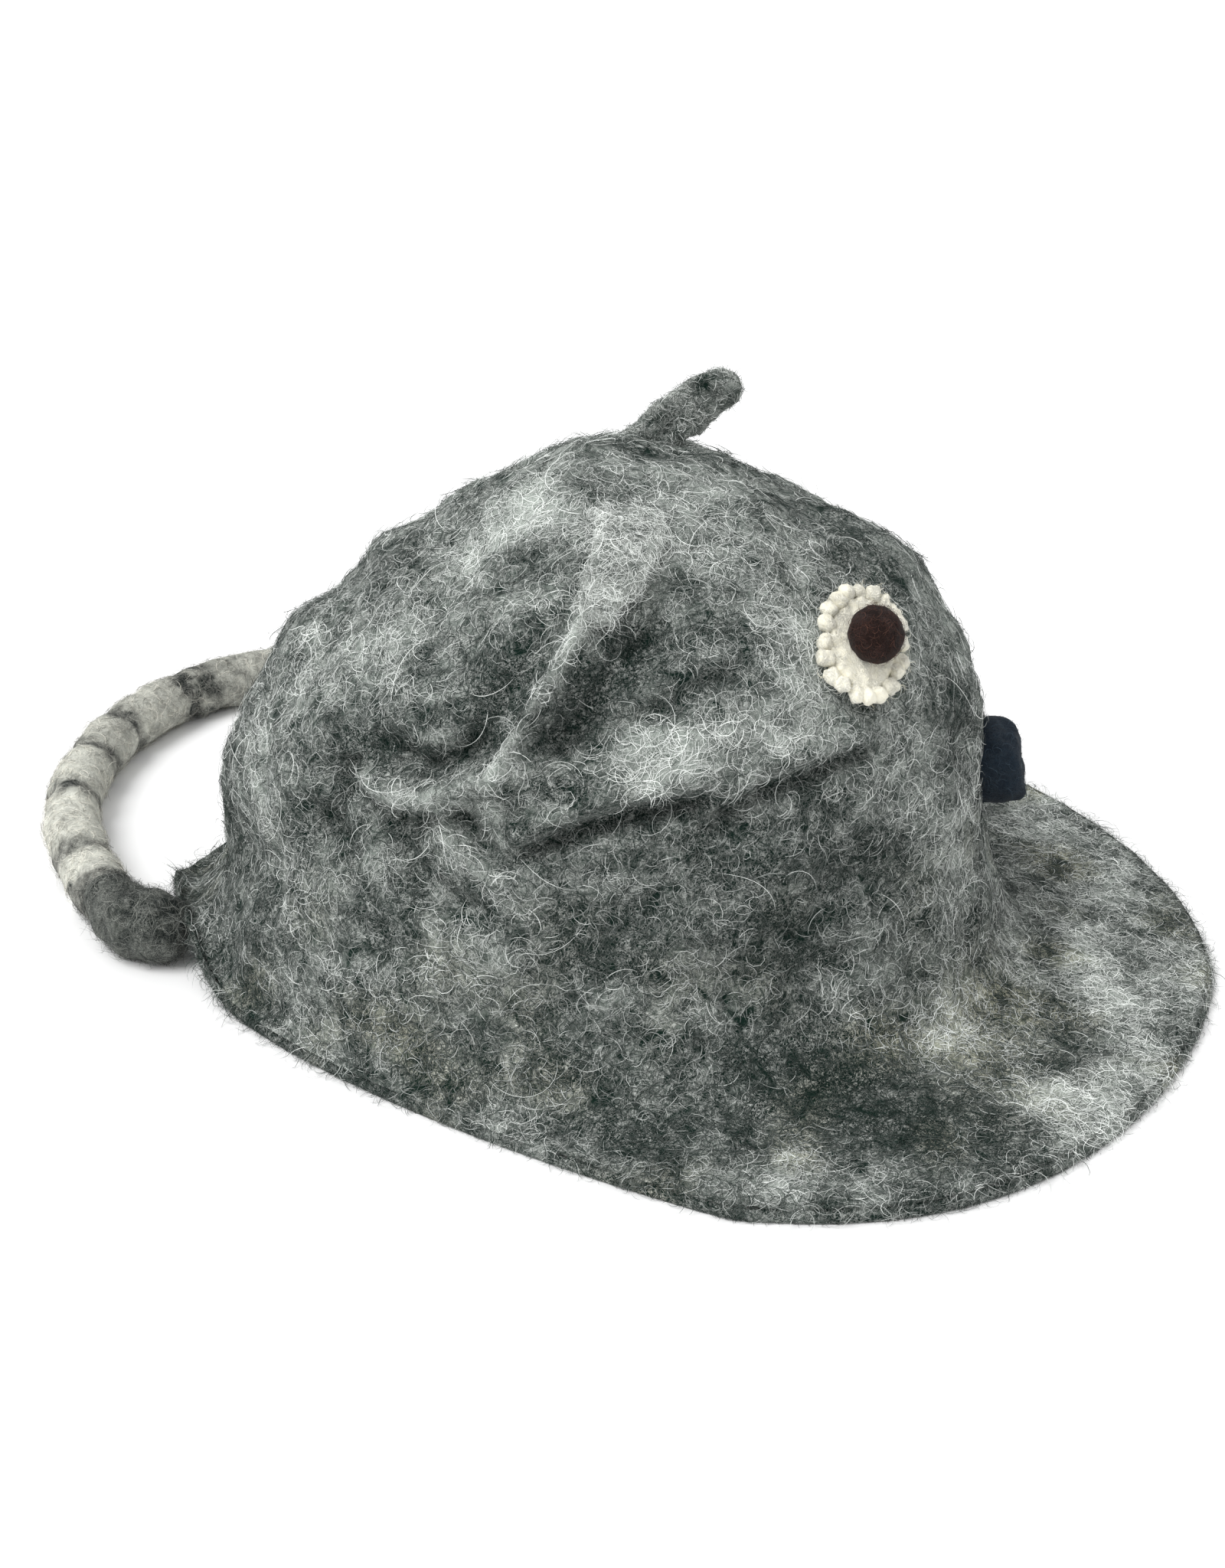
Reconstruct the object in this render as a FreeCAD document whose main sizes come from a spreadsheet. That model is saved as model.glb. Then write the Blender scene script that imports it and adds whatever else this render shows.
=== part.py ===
import FreeCAD, Part
import math
import os
import Sketcher
from FreeCAD import Matrix, Placement, Rotation, Vector

# Felt animal hat: a seamless wool-felt crown and brim with a front visor, two felt ears, two eyes,
# a button nose and a felt-rope tail. Millimetres, +Z up, the nose towards -Y, the wearer's left is +X.
# The origin is on the table, under the middle of the brim.

os.makedirs("parts", exist_ok=True)
doc = FreeCAD.newDocument("felt_animal_hat")
sheet = doc.addObject("Spreadsheet::Sheet", "sizes")

SIZES = [
    ("felt_thickness", 4.5),
    ("crown_height", 142.5),
    ("crown_half_width", 86.0),
    ("crown_front_reach", 106.0),
    ("crown_back_reach", 101.0),
    ("crown_centre", 26.0),
    ("crown_flare", 8.0),
    ("flare_top", 9.9),
    ("flare_top_width", 2.4),
    ("brim_half_width", 130.0),
    ("brim_half_length", 145.0),
    ("brim_widest_at", -26.0),
    ("visor_fold_at", -96.0),
    ("visor_fold_gap", 0.5),
    ("left_ear_length", 21.0),
    ("right_ear_length", 36.0),
    ("ear_root_width", 15.0),
    ("ear_tip_radius", 4.5),
    ("ear_thickness", 5.0),
    ("ear_edge_radius", 1.5),
    ("ear_side", 30.0),
    ("left_ear_y", 7.5),
    ("right_ear_y", 13.0),
    ("ear_standoff", 4.0),
    ("left_ear_lean_forward", 41.0),
    ("left_ear_tilt_out", 5.0),
    ("right_ear_lean_back", 13.0),
    ("right_ear_tilt_out", 107.0),
    ("right_eye_angle", 37.5),
    ("right_eye_height", 108.0),
    ("left_eye_angle", 48.0),
    ("left_eye_height", 91.0),
    ("eye_long_radius", 12.8),
    ("eye_short_radius", 9.6),
    ("eye_tilt", 38.0),
    ("eye_disc_thickness", 2.5),
    ("eye_standoff", 1.4),
    ("bead_radius", 1.9),
    ("bead_gap", 0.15),
    ("bead_count", 20.0),
    ("pupil_radius", 7.0),
    ("pupil_cut_latitude", -42.0),
    ("nose_height", 60.0),
    ("nose_radius", 11.5),
    ("nose_depth", 12.0),
    ("nose_edge_radius", 3.5),
    ("nose_standoff", 0.6),
    ("nose_thread_reach", 7.2),
    ("thread_radius", 0.7),
    ("knot_radius", 2.2),
    ("tail_radius", 8.5),
    ("tail_floor_gap", 0.1),
    ("tail_root_radius", 9.5),
    ("tail_root_length", 12.0),
    ("tail_root_x", -27.0),
    ("tail_root_y", 149.5),
    ("tail_cup_ring", 0.2),
    ("tail_running_gap", 0.4),
]
for row, (alias, value) in enumerate(SIZES, start=1):
    sheet.set(f"A{row}", alias)
    sheet.set(f"B{row}", str(value))
    sheet.setAlias(f"B{row}", alias)
doc.recompute()


def size(alias):
    """The value that a cell of the sheet holds."""
    return float(getattr(sheet, alias))


def bind(thing, **cells):
    """Ties properties of an object to cells of the sheet, by an alias or an expression of aliases."""
    for name, expression in cells.items():
        thing.setExpression(name, expression)
    return thing


felt = size("felt_thickness")
height = size("crown_height")
centre_y = size("crown_centre")

# ---- The shape of the felt skin ----

# How the crown draws in with height: its half-width is (1 - t**power) ** (1 / root) of that at the base.
DRAW_IN = {"front": (7.0, 1.0), "back": (3.2, 1.0), "side": (4.0, 1.8)}
RING_POINTS = 36
RING_HEIGHTS = (0.14, 0.3, 0.45, 0.6, 0.72, 0.82, 0.9, 0.955, 0.985)
INNER_FOOT_HEIGHT = 0.06
OPENING_DROP = 1.0
# How the brim narrows to its ends, in the same way: half-width = (1 - part**power) ** (1 / root).
BRIM_NARROWS = {"front": (2.4, 1.6), "back": (1.1, 1.93)}
BRIM_POINTS = 44
FAR = 400.0
HALVINGS = 40
NORMAL_STEP = 0.01


def draw_in(towards, part_up):
    power, root = DRAW_IN[towards]
    return (1.0 - part_up**power) ** (1.0 / root)


def crown_point(angle, z, shrink=0.0, grow=0.0):
    """A point of the crown at an angle from the front, turning towards -X, and at height z.

    shrink makes the whole dome that much smaller, for the inside of the felt; grow widens the ring only.
    """
    part_up = max(0.0, z / (height - shrink))
    ends = "front" if math.cos(angle) > 0 else "back"
    reach = size(f"crown_{ends}_reach") - shrink
    half = size("crown_half_width") - shrink
    x = -(half * draw_in("side", part_up) + grow) * math.sin(angle)
    y = centre_y - (reach * draw_in(ends, part_up) + grow) * math.cos(angle)
    return Vector(x, y, z)


def crown_normal(angle, z):
    """The outward normal of the crown, from two short steps along its surface."""
    along = crown_point(angle + NORMAL_STEP, z) - crown_point(angle - NORMAL_STEP, z)
    up = crown_point(angle, z + 1.0) - crown_point(angle, z - 1.0)
    normal = up.cross(along)
    return normal.normalize()


def closed_curve(points):
    curve = Part.BSplineCurve()
    curve.interpolate(Points=points, PeriodicFlag=True)
    return Part.Wire([curve.toShape()])


def crown_ring(z, shrink=0.0, grow=0.0, drop=0.0):
    turns = [2.0 * math.pi * i / RING_POINTS for i in range(RING_POINTS)]
    ring = [crown_point(a, z, shrink, grow) - Vector(0, 0, drop) for a in turns]
    return closed_curve(ring)


def brim_half_width(y):
    """Half the brim's width at y: an egg, broad in front of the middle and narrow at the back."""
    widest = size("brim_widest_at")
    towards = "front" if y < widest else "back"
    end = -size("brim_half_length") if y < widest else size("brim_half_length")
    part = min(1.0, (y - widest) / (end - widest))
    power, root = BRIM_NARROWS[towards]
    return size("brim_half_width") * (1.0 - part**power) ** (1.0 / root)


def brim_plate():
    """The flat brim, one felt thick, whose outline is spaced evenly round an ellipse's angle."""
    points = []
    for i in range(BRIM_POINTS):
        angle = 2.0 * math.pi * (i + 0.5) / BRIM_POINTS
        y = -size("brim_half_length") * math.cos(angle)
        side = -1.0 if math.sin(angle) > 0 else 1.0
        points.append(Vector(side * brim_half_width(y), y, 0))
    front = Vector(0, -size("brim_half_length"), 0)
    back = Vector(0, size("brim_half_length"), 0)
    middle = BRIM_POINTS // 2
    points = [front] + points[:middle] + [back] + points[middle:]
    return Part.Face(closed_curve(points)).extrude(Vector(0, 0, felt))


def felt_skin():
    """The whole hat: the dome with its small flare, hollow and open below, on its flat brim."""
    flare = size("crown_flare")
    rings = [crown_ring(0.0, grow=flare), crown_ring(felt, grow=flare)]
    rings.append(crown_ring(size("flare_top"), grow=size("flare_top_width")))
    rings += [crown_ring(part * height) for part in RING_HEIGHTS]
    outside = Part.makeLoft(rings, True, False)
    rings = [crown_ring(0.0, shrink=felt, drop=OPENING_DROP)]
    rings.append(crown_ring(INNER_FOOT_HEIGHT * height, shrink=felt))
    rings += [crown_ring(part * (height - felt), shrink=felt) for part in RING_HEIGHTS]
    inside = Part.makeLoft(rings, True, False)
    return outside.fuse(brim_plate()).removeSplitter().cut(inside)


def half_space(from_y, to_y):
    return Part.makeBox(FAR, to_y - from_y, FAR, Vector(-FAR / 2, from_y, -FAR / 4))


fold = size("visor_fold_at")
gap = size("visor_fold_gap")
skin = felt_skin()

crown = doc.addObject("Part::Feature", "crown")
crown.Label = "crown"
crown.Shape = skin.common(half_space(fold + gap / 2, fold + FAR))
crown.Placement = Placement()

visor = doc.addObject("Part::Feature", "visor")
visor.Label = "visor"
visor.Shape = skin.common(half_space(fold - FAR, fold - gap / 2))
visor.Placement = Placement()

nodes = [crown, visor]


# ---- Ears: felt tongues, each bending at its root line, which runs front to back ----


def ear_body(label, length, lean):
    """A flat tongue with a straight root on its own origin and a round tip, leaning towards -Y by lean."""
    body = doc.addObject("PartDesign::Body", label)
    body.Label = label
    plane = [f for f in body.Origin.OriginFeatures if f.Role == "YZ_Plane"][0]
    sketch = body.newObject("Sketcher::SketchObject", label + "_outline")
    sketch.AttachmentSupport = [(plane, "")]
    sketch.MapMode = "FlatFace"
    half = size("ear_root_width") / 2
    tip_radius = size("ear_tip_radius")
    reach = length - tip_radius
    tip = Vector(-reach * math.sin(lean), reach * math.cos(lean), 0)
    side = Vector(math.cos(lean), math.sin(lean), 0) * tip_radius
    end = Vector(-math.sin(lean), math.cos(lean), 0) * tip_radius
    back, front = Vector(half, 0, 0), Vector(-half, 0, 0)
    sketch.addGeometry(Part.LineSegment(front, back), False)
    sketch.addGeometry(Part.LineSegment(back, tip + side), False)
    sketch.addGeometry(Part.Arc(tip + side, tip + end, tip - side), False)
    sketch.addGeometry(Part.LineSegment(tip - side, front), False)
    pad = body.newObject("PartDesign::Pad", label + "_felt")
    pad.Profile = sketch
    pad.Midplane = True
    bind(pad, Length="sizes.ear_thickness")
    doc.recompute()
    rounded = body.newObject("PartDesign::Fillet", label + "_edges")
    rounded.Base = (pad, [f"Edge{i + 1}" for i in range(len(pad.Shape.Edges))])
    bind(rounded, Radius="sizes.ear_edge_radius")
    return body


def ear_place(side, y, tilt_out):
    """Where an ear's root stands on the crown; side is 1 for the left ear and -1 for the right ear.

    The height of the crown at its x and y is found by halving the range that holds it.
    """
    x = side * size("ear_side")
    low, high = 0.0, height * RING_HEIGHTS[-1]
    for _ in range(HALVINGS):
        z = (low + high) / 2
        part_up = z / height
        wide = (x / (size("crown_half_width") * draw_in("side", part_up))) ** 2
        long = ((centre_y - y) / (size("crown_front_reach") * draw_in("front", part_up))) ** 2
        if wide + long < 1.0:
            low = z
        else:
            high = z
    return Placement(Vector(x, y, low + size("ear_standoff")), Rotation(Vector(0, 1, 0), side * tilt_out))


ear_left = ear_body("ear_left", size("left_ear_length"), math.radians(size("left_ear_lean_forward")))
ear_left.Placement = ear_place(1.0, size("left_ear_y"), size("left_ear_tilt_out"))
ear_right = ear_body("ear_right", size("right_ear_length"), -math.radians(size("right_ear_lean_back")))
ear_right.Placement = ear_place(-1.0, size("right_ear_y"), size("right_ear_tilt_out"))
nodes += [ear_left, ear_right]


# ---- Eyes: an oval felt disc, a ring of bobbles, a felt-ball pupil and the thread that holds them ----


def axes_to_rotation(x_axis, normal):
    """A rotation that carries +Z to the normal and +X to x_axis, made square to it."""
    y_axis = normal.cross(x_axis).normalize()
    x_axis = y_axis.cross(normal)
    columns = [x_axis, y_axis, normal]
    rows = [[c[i] for c in columns] for i in range(3)]
    return Rotation(Matrix(*rows[0], 0, *rows[1], 0, *rows[2], 0, 0, 0, 0, 1))


def lifted(frame, distance, across=Vector()):
    """The frame moved outwards along its own normal, and across it."""
    return frame.multiply(Placement(across + Vector(0, 0, distance), Rotation()))


def thread(name, frame, inner_depth, outer_reach):
    """A thread from a knot inside the crown, through the felt, to the middle of what it holds."""
    shank = doc.addObject("Part::Cylinder", name + "_shank")
    bind(shank, Radius="sizes.thread_radius")
    shank.Height = inner_depth + outer_reach
    shank.Placement = lifted(frame, -inner_depth)
    knot = doc.addObject("Part::Sphere", name + "_knot")
    bind(knot, Radius="sizes.knot_radius")
    knot.Placement = lifted(frame, -inner_depth)
    sewn = doc.addObject("Part::MultiFuse", name)
    sewn.Shapes = [shank, knot]
    sewn.Label = name
    return sewn


def eye(side_name, side):
    angle = side * math.radians(size(side_name + "_eye_angle"))
    z = size(side_name + "_eye_height")
    normal = crown_normal(angle, z)
    up = Vector(0, 0, 1) - normal * normal.z
    up.normalize()
    backward = normal.cross(up) * -side
    tilt = math.radians(size("eye_tilt"))
    long_axis = up * math.cos(tilt) + backward * math.sin(tilt)
    frame = Placement(crown_point(angle, z), axes_to_rotation(long_axis, normal))
    disc_back = lifted(frame, size("eye_standoff"))

    oval = doc.addObject("Part::Ellipse", "eye_oval_" + side_name)
    bind(oval, MajorRadius="sizes.eye_long_radius", MinorRadius="sizes.eye_short_radius")
    disc = doc.addObject("Part::Extrusion", "eye_disc_" + side_name)
    disc.Base = oval
    disc.DirMode = "Custom"
    disc.Dir = Vector(0, 0, 1)
    disc.Solid = True
    bind(disc, LengthFwd="sizes.eye_disc_thickness")
    disc.Label = "eye_disc_" + side_name
    disc.Placement = disc_back

    beads = []
    count = int(size("bead_count"))
    clear = size("bead_radius") + size("bead_gap")
    for i in range(count):
        turn = 2.0 * math.pi * i / count
        across = Vector(
            (size("eye_long_radius") + clear) * math.cos(turn),
            (size("eye_short_radius") + clear) * math.sin(turn),
            0,
        )
        bead = doc.addObject("Part::Sphere", f"bead_{side_name}_{i + 1}")
        bind(bead, Radius="sizes.bead_radius")
        bead.Placement = lifted(disc_back, size("eye_disc_thickness") / 2, across)
        beads.append(bead)
    trim = doc.addObject("Part::Compound", "eye_trim_" + side_name)
    trim.Links = beads
    trim.Label = "eye_trim_" + side_name

    pupil = doc.addObject("Part::Sphere", "pupil_" + side_name)
    bind(pupil, Radius="sizes.pupil_radius", Angle1="sizes.pupil_cut_latitude")
    pupil.Label = "pupil_" + side_name
    flat_back = -size("pupil_radius") * math.sin(math.radians(size("pupil_cut_latitude")))
    middle = size("eye_disc_thickness") + flat_back
    pupil.Placement = lifted(disc_back, middle)

    sewn = thread("eye_thread_" + side_name, frame, felt + size("knot_radius"), size("eye_standoff") + middle)
    return [disc, trim, pupil, sewn]


nodes += eye("left", -1.0)
nodes += eye("right", 1.0)


# ---- Nose: a thick felt button sewn to the front of the crown ----

nose = doc.addObject("PartDesign::Body", "nose")
nose.Label = "nose"
nose_plane = [f for f in nose.Origin.OriginFeatures if f.Role == "XY_Plane"][0]
nose_circle = nose.newObject("Sketcher::SketchObject", "nose_circle")
nose_circle.AttachmentSupport = [(nose_plane, "")]
nose_circle.MapMode = "FlatFace"
nose_circle.addGeometry(Part.Circle(Vector(), Vector(0, 0, 1), size("nose_radius")), False)
nose_circle.addConstraint(Sketcher.Constraint("Coincident", 0, 3, -1, 1))
nose_circle.addConstraint(Sketcher.Constraint("Radius", 0, size("nose_radius")))
nose_circle.renameConstraint(1, "radius")
bind(nose_circle, **{"Constraints.radius": "sizes.nose_radius"})
nose_pad = nose.newObject("PartDesign::Pad", "nose_felt")
nose_pad.Profile = nose_circle
bind(nose_pad, Length="sizes.nose_depth")
doc.recompute()
front_edges = [
    f"Edge{i + 1}"
    for i, edge in enumerate(nose_pad.Shape.Edges)
    if edge.BoundBox.ZMin > size("nose_depth") - 0.01
]
nose_round = nose.newObject("PartDesign::Fillet", "nose_front_edge")
nose_round.Base = (nose_pad, front_edges)
bind(nose_round, Radius="sizes.nose_edge_radius")
nose_rotation = axes_to_rotation(Vector(1, 0, 0), crown_normal(0.0, size("nose_height")))
nose_frame = Placement(crown_point(0.0, size("nose_height")), nose_rotation)
nose.Placement = lifted(nose_frame, size("nose_standoff"))
nose_thread = thread("nose_thread", nose_frame, felt + size("knot_radius"), size("nose_thread_reach"))
nodes += [nose, nose_thread]


# ---- Tail: a felt rope from a thick root at the back of the brim, lying on the table in a loose loop ----

tail_z = size("tail_radius") + size("tail_floor_gap")
root_z = size("tail_root_radius") + size("tail_floor_gap")
root_centre = Vector(size("tail_root_x"), size("tail_root_y"), root_z)
# The route starts at the middle of the ball that sits in the root's cup.
TAIL_ROUTE = [
    (-13.6, 160.2),
    (5.0, 173.5),
    (31.0, 186.5),
    (62.0, 193.5),
    (95.0, 192.0),
    (126.0, 181.0),
    (148.0, 158.0),
    (157.0, 128.0),
    (155.5, 97.0),
    (146.5, 68.0),
    (131.0, 42.0),
]
route = [Vector(x, y, tail_z) for x, y in TAIL_ROUTE]
root_direction = route[0] - root_centre
root_rotation = Rotation(Vector(0, 0, 1), root_direction)

root_ball = doc.addObject("Part::Sphere", "tail_root_ball")
bind(root_ball, Radius="sizes.tail_root_radius")
root_ball.Placement = Placement(root_centre, root_rotation)
root_cone = doc.addObject("Part::Cone", "tail_root_cone")
bind(
    root_cone,
    Radius1="sizes.tail_root_radius",
    Radius2="sizes.tail_radius + sizes.tail_cup_ring",
    Height="sizes.tail_root_length",
)
root_cone.Placement = Placement(root_centre, root_rotation)
root_whole = doc.addObject("Part::MultiFuse", "tail_root_whole")
root_whole.Shapes = [root_ball, root_cone]
root_cup = doc.addObject("Part::Sphere", "tail_root_cup")
bind(root_cup, Radius="sizes.tail_radius + sizes.tail_running_gap")
root_cup.Placement = Placement(route[0], root_rotation)
tail_root = doc.addObject("Part::Cut", "tail_root")
tail_root.Base = root_whole
tail_root.Tool = root_cup
tail_root.Label = "tail_root"


# Each arc starts and ends this part of the shorter run away from its corner.
ARC_SHARE = 0.45


def rounded_path(points):
    """Straight runs joined by tangent arcs, each arc as large as its two runs allow."""
    edges = []
    radii = []
    start = points[0]
    for before, corner, after in zip(points, points[1:], points[2:]):
        back = before - corner
        forward = after - corner
        shorter = min(back.Length, forward.Length)
        half_turn = (math.pi - back.getAngle(forward)) / 2
        back.normalize()
        forward.normalize()
        reach = ARC_SHARE * shorter
        radius = reach / math.tan(half_turn)
        enter = corner + back * reach
        leave = corner + forward * reach
        inward = (back + forward).normalize()
        middle = corner + inward * (radius / math.cos(half_turn) - radius)
        edges.append(Part.LineSegment(start, enter).toShape())
        edges.append(Part.Arc(enter, middle, leave).toShape())
        radii.append(radius)
        start = leave
    edges.append(Part.LineSegment(start, points[-1]).toShape())
    return Part.Wire(edges), radii


tail_path, bend_radii = rounded_path(route)
tail_section = Part.Wire(Part.makeCircle(size("tail_radius"), route[0], route[1] - route[0]))
tail_tube = tail_path.makePipeShell([tail_section], True, True)
section_area = math.pi * size("tail_radius") ** 2
print("tail bend radii", [round(r, 1) for r in bend_radii])
print("tail length", round(tail_path.Length, 1), "tube volume over section times length",
      round(tail_tube.Volume / (section_area * tail_path.Length), 4))
tail = doc.addObject("Part::Feature", "tail")
tail.Label = "tail"
tail_ends = [
    Part.makeSphere(size("tail_radius"), route[0], route[0] - route[1], 0, 90, 360),
    Part.makeSphere(size("tail_radius"), route[-1], route[-1] - route[-2], 0, 90, 360),
]
tail.Shape = tail_tube.fuse(tail_ends)
tail.Placement = Placement()
nodes += [tail_root, tail]

# ---- Check and write ----

doc.recompute()
for thing in doc.Objects:
    if "Invalid" in thing.State or "Error" in thing.State:
        raise RuntimeError(f"{thing.Label} failed: {thing.State}")
for node in nodes:
    shape = node.Shape
    if shape.isNull() or not shape.isValid() or not shape.Solids:
        raise RuntimeError(f"{node.Label} has no valid solid")
    shape.exportStep(f"parts/{node.Label}.step")
    box = shape.BoundBox
    print(node.Label, len(shape.Solids), round(shape.Volume), [round(v, 1) for v in (
        box.XMin, box.XMax, box.YMin, box.YMax, box.ZMin, box.ZMax)])
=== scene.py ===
import math
import bpy
import numpy as np
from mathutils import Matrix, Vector


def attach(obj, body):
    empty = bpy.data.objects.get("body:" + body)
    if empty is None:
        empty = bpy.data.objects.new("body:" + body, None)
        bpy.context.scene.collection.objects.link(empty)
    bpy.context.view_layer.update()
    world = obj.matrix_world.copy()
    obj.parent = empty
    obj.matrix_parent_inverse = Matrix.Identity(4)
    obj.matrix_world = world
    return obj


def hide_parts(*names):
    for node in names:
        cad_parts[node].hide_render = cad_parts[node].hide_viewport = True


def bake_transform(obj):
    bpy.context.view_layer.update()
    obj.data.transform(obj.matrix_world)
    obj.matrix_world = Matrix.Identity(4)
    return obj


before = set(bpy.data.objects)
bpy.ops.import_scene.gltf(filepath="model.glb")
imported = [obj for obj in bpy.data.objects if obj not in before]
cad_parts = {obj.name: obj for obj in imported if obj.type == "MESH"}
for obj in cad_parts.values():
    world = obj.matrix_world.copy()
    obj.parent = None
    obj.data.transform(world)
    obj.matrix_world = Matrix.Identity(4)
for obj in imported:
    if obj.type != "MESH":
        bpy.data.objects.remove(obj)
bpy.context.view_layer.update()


# ---- The table top, the lights and the camera ----
# The hat stands on a plain white studio table in a white room, under one very broad soft light
# from above, behind and to its right. The camera looks down at its right side.

scene = bpy.context.scene
scene.view_settings.view_transform = "Standard"
scene.view_settings.look = "None"

table_size = 40.0
table_mesh = bpy.data.meshes.new("table_top")
half = table_size / 2
table_corners = [(-half, -half, 0), (half, -half, 0), (half, half, 0), (-half, half, 0)]
table_mesh.from_pydata(table_corners, [], [(0, 1, 2, 3)])
table_top = bpy.data.objects.new("table_top", table_mesh)
scene.collection.objects.link(table_top)
table_paint = bpy.data.materials.new("white_table")
table_paint.use_nodes = True
table_shader = table_paint.node_tree.nodes["Principled BSDF"]
table_shader.inputs["Base Color"].default_value = (0.93, 0.93, 0.93, 1)
table_shader.inputs["Roughness"].default_value = 0.9
table_shader.inputs["Specular IOR Level"].default_value = 0.1
table_mesh.materials.append(table_paint)

room = bpy.data.worlds.new("white_room")
room.use_nodes = True
room.node_tree.nodes["Background"].inputs["Color"].default_value = (1.0, 1.0, 1.0, 1)
room.node_tree.nodes["Background"].inputs["Strength"].default_value = 0.76
scene.world = room

ceiling_light = bpy.data.lights.new("ceiling_light", "SUN")
ceiling_light.energy = 2.2
ceiling_light.angle = math.radians(38)
ceiling = bpy.data.objects.new("ceiling_light", ceiling_light)
ceiling.rotation_euler = Vector((0.42, -0.46, -1.0)).to_track_quat("-Z", "Y").to_euler()
scene.collection.objects.link(ceiling)

camera_target = Vector((-0.0041, 0.0188, 0.0487))
camera_distance = 0.6614
azimuth, elevation = math.radians(-82.6), math.radians(26.0)
back = Vector((
    math.sin(azimuth) * math.cos(elevation),
    -math.cos(azimuth) * math.cos(elevation),
    math.sin(elevation),
))
lens = bpy.data.cameras.new("camera")
lens.lens = 56.25
lens.sensor_fit = "VERTICAL"
lens.sensor_height = 36.0
lens.clip_start = 0.01
camera = bpy.data.objects.new("camera", lens)
camera.location = camera_target + back * camera_distance
camera.rotation_euler = (-back).to_track_quat("-Z", "Y").to_euler()
scene.collection.objects.link(camera)
scene.camera = camera


# ---- The tail ----
# A felt rope with a rounded end, rolled from light wool with dark bands laid in, each pulled in a
# little. It turns in the thick dark root at the back of the brim and lies on the table in a loop.


def dye(red, green, blue):
    """A colour from its 0 to 255 screen values, made linear."""
    screen = np.array([red, green, blue]) / 255.0
    linear = np.where(screen > 0.04045, ((screen + 0.055) / 1.055) ** 2.4, screen / 12.92)
    return (*linear.tolist(), 1.0)


def drift(points, size, seed, waves=30):
    """Smooth random waviness of about unit size: a sum of plane waves, each in a random direction
    with a random phase and a length within half as much again of the size."""
    rng = np.random.default_rng(seed)
    ways = rng.normal(size=(waves, 3))
    ways /= np.linalg.norm(ways, axis=1, keepdims=True)
    ways *= 2 * math.pi / (size * rng.uniform(0.65, 1.5, (waves, 1)))
    return np.cos(points @ ways.T + rng.uniform(0, 2 * math.pi, waves)).sum(-1) / math.sqrt(waves / 2)


def put_together(name, points, quads, triangles=()):
    """A mesh object from whole arrays of points, four-sided and three-sided faces."""
    points = np.asarray(points, np.float32).reshape(-1, 3)
    quads = np.asarray(quads, np.int32).reshape(-1, 4)
    triangles = np.asarray(triangles, np.int32).reshape(-1, 3)
    corners = np.concatenate([quads.ravel(), triangles.ravel()])
    starts = np.concatenate([np.arange(len(quads)) * 4, len(quads) * 4 + np.arange(len(triangles)) * 3])
    mesh = bpy.data.meshes.new(name)
    mesh.vertices.add(len(points))
    mesh.vertices.foreach_set("co", points.ravel())
    mesh.loops.add(len(corners))
    mesh.loops.foreach_set("vertex_index", corners.astype(np.int32))
    mesh.polygons.add(len(starts))
    mesh.polygons.foreach_set("loop_start", starts.astype(np.int32))
    mesh.update(calc_edges=True)
    mesh.shade_smooth()
    piece = bpy.data.objects.new(name, mesh)
    scene.collection.objects.link(piece)
    return piece


def skin_of_rings(name, rings):
    """A closed skin over a grid: every row of points is a ring, and each end is drawn to one point."""
    rows, columns = rings.shape[:2]
    index = np.arange(rows * columns).reshape(rows, columns)
    ahead = np.roll(index, -1, axis=1)
    quads = np.stack([index[:-1], ahead[:-1], ahead[1:], index[1:]], -1)
    first, last = rows * columns, rows * columns + 1
    fans = np.concatenate([
        np.stack([np.full(columns, first), ahead[0], index[0]], -1),
        np.stack([np.full(columns, last), index[-1], ahead[-1]], -1),
    ])
    flat = np.concatenate([rings.reshape(-1, 3), rings[0].mean(0)[None], rings[-1].mean(0)[None]])
    # A skin that holds a negative volume faces inwards, so its faces are turned over.
    corners = quads.reshape(-1, 4)
    faces = np.concatenate([corners[:, :3], corners[:, [0, 2, 3]], fans])
    one, two, three = ((flat - flat.mean(0))[faces[:, i]] for i in range(3))
    if (one * np.cross(two, three)).sum() < 0:
        quads, fans = quads[..., ::-1], fans[..., ::-1]
    return put_together(name, flat, quads, fans)


def mark(piece, name, values):
    """Gives every point of a piece a number that its material reads."""
    marks = piece.data.attributes.new(name, "FLOAT", "POINT")
    marks.data.foreach_set("value", np.asarray(values, np.float32))


def dress(piece, finish, body, slot, *nodes):
    """Puts a finish on a piece, lets it ride on a body, and lets it stand for the nodes given."""
    piece.data.materials.append(finish)
    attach(piece, body)
    if nodes:
        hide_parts(*nodes)


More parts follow.
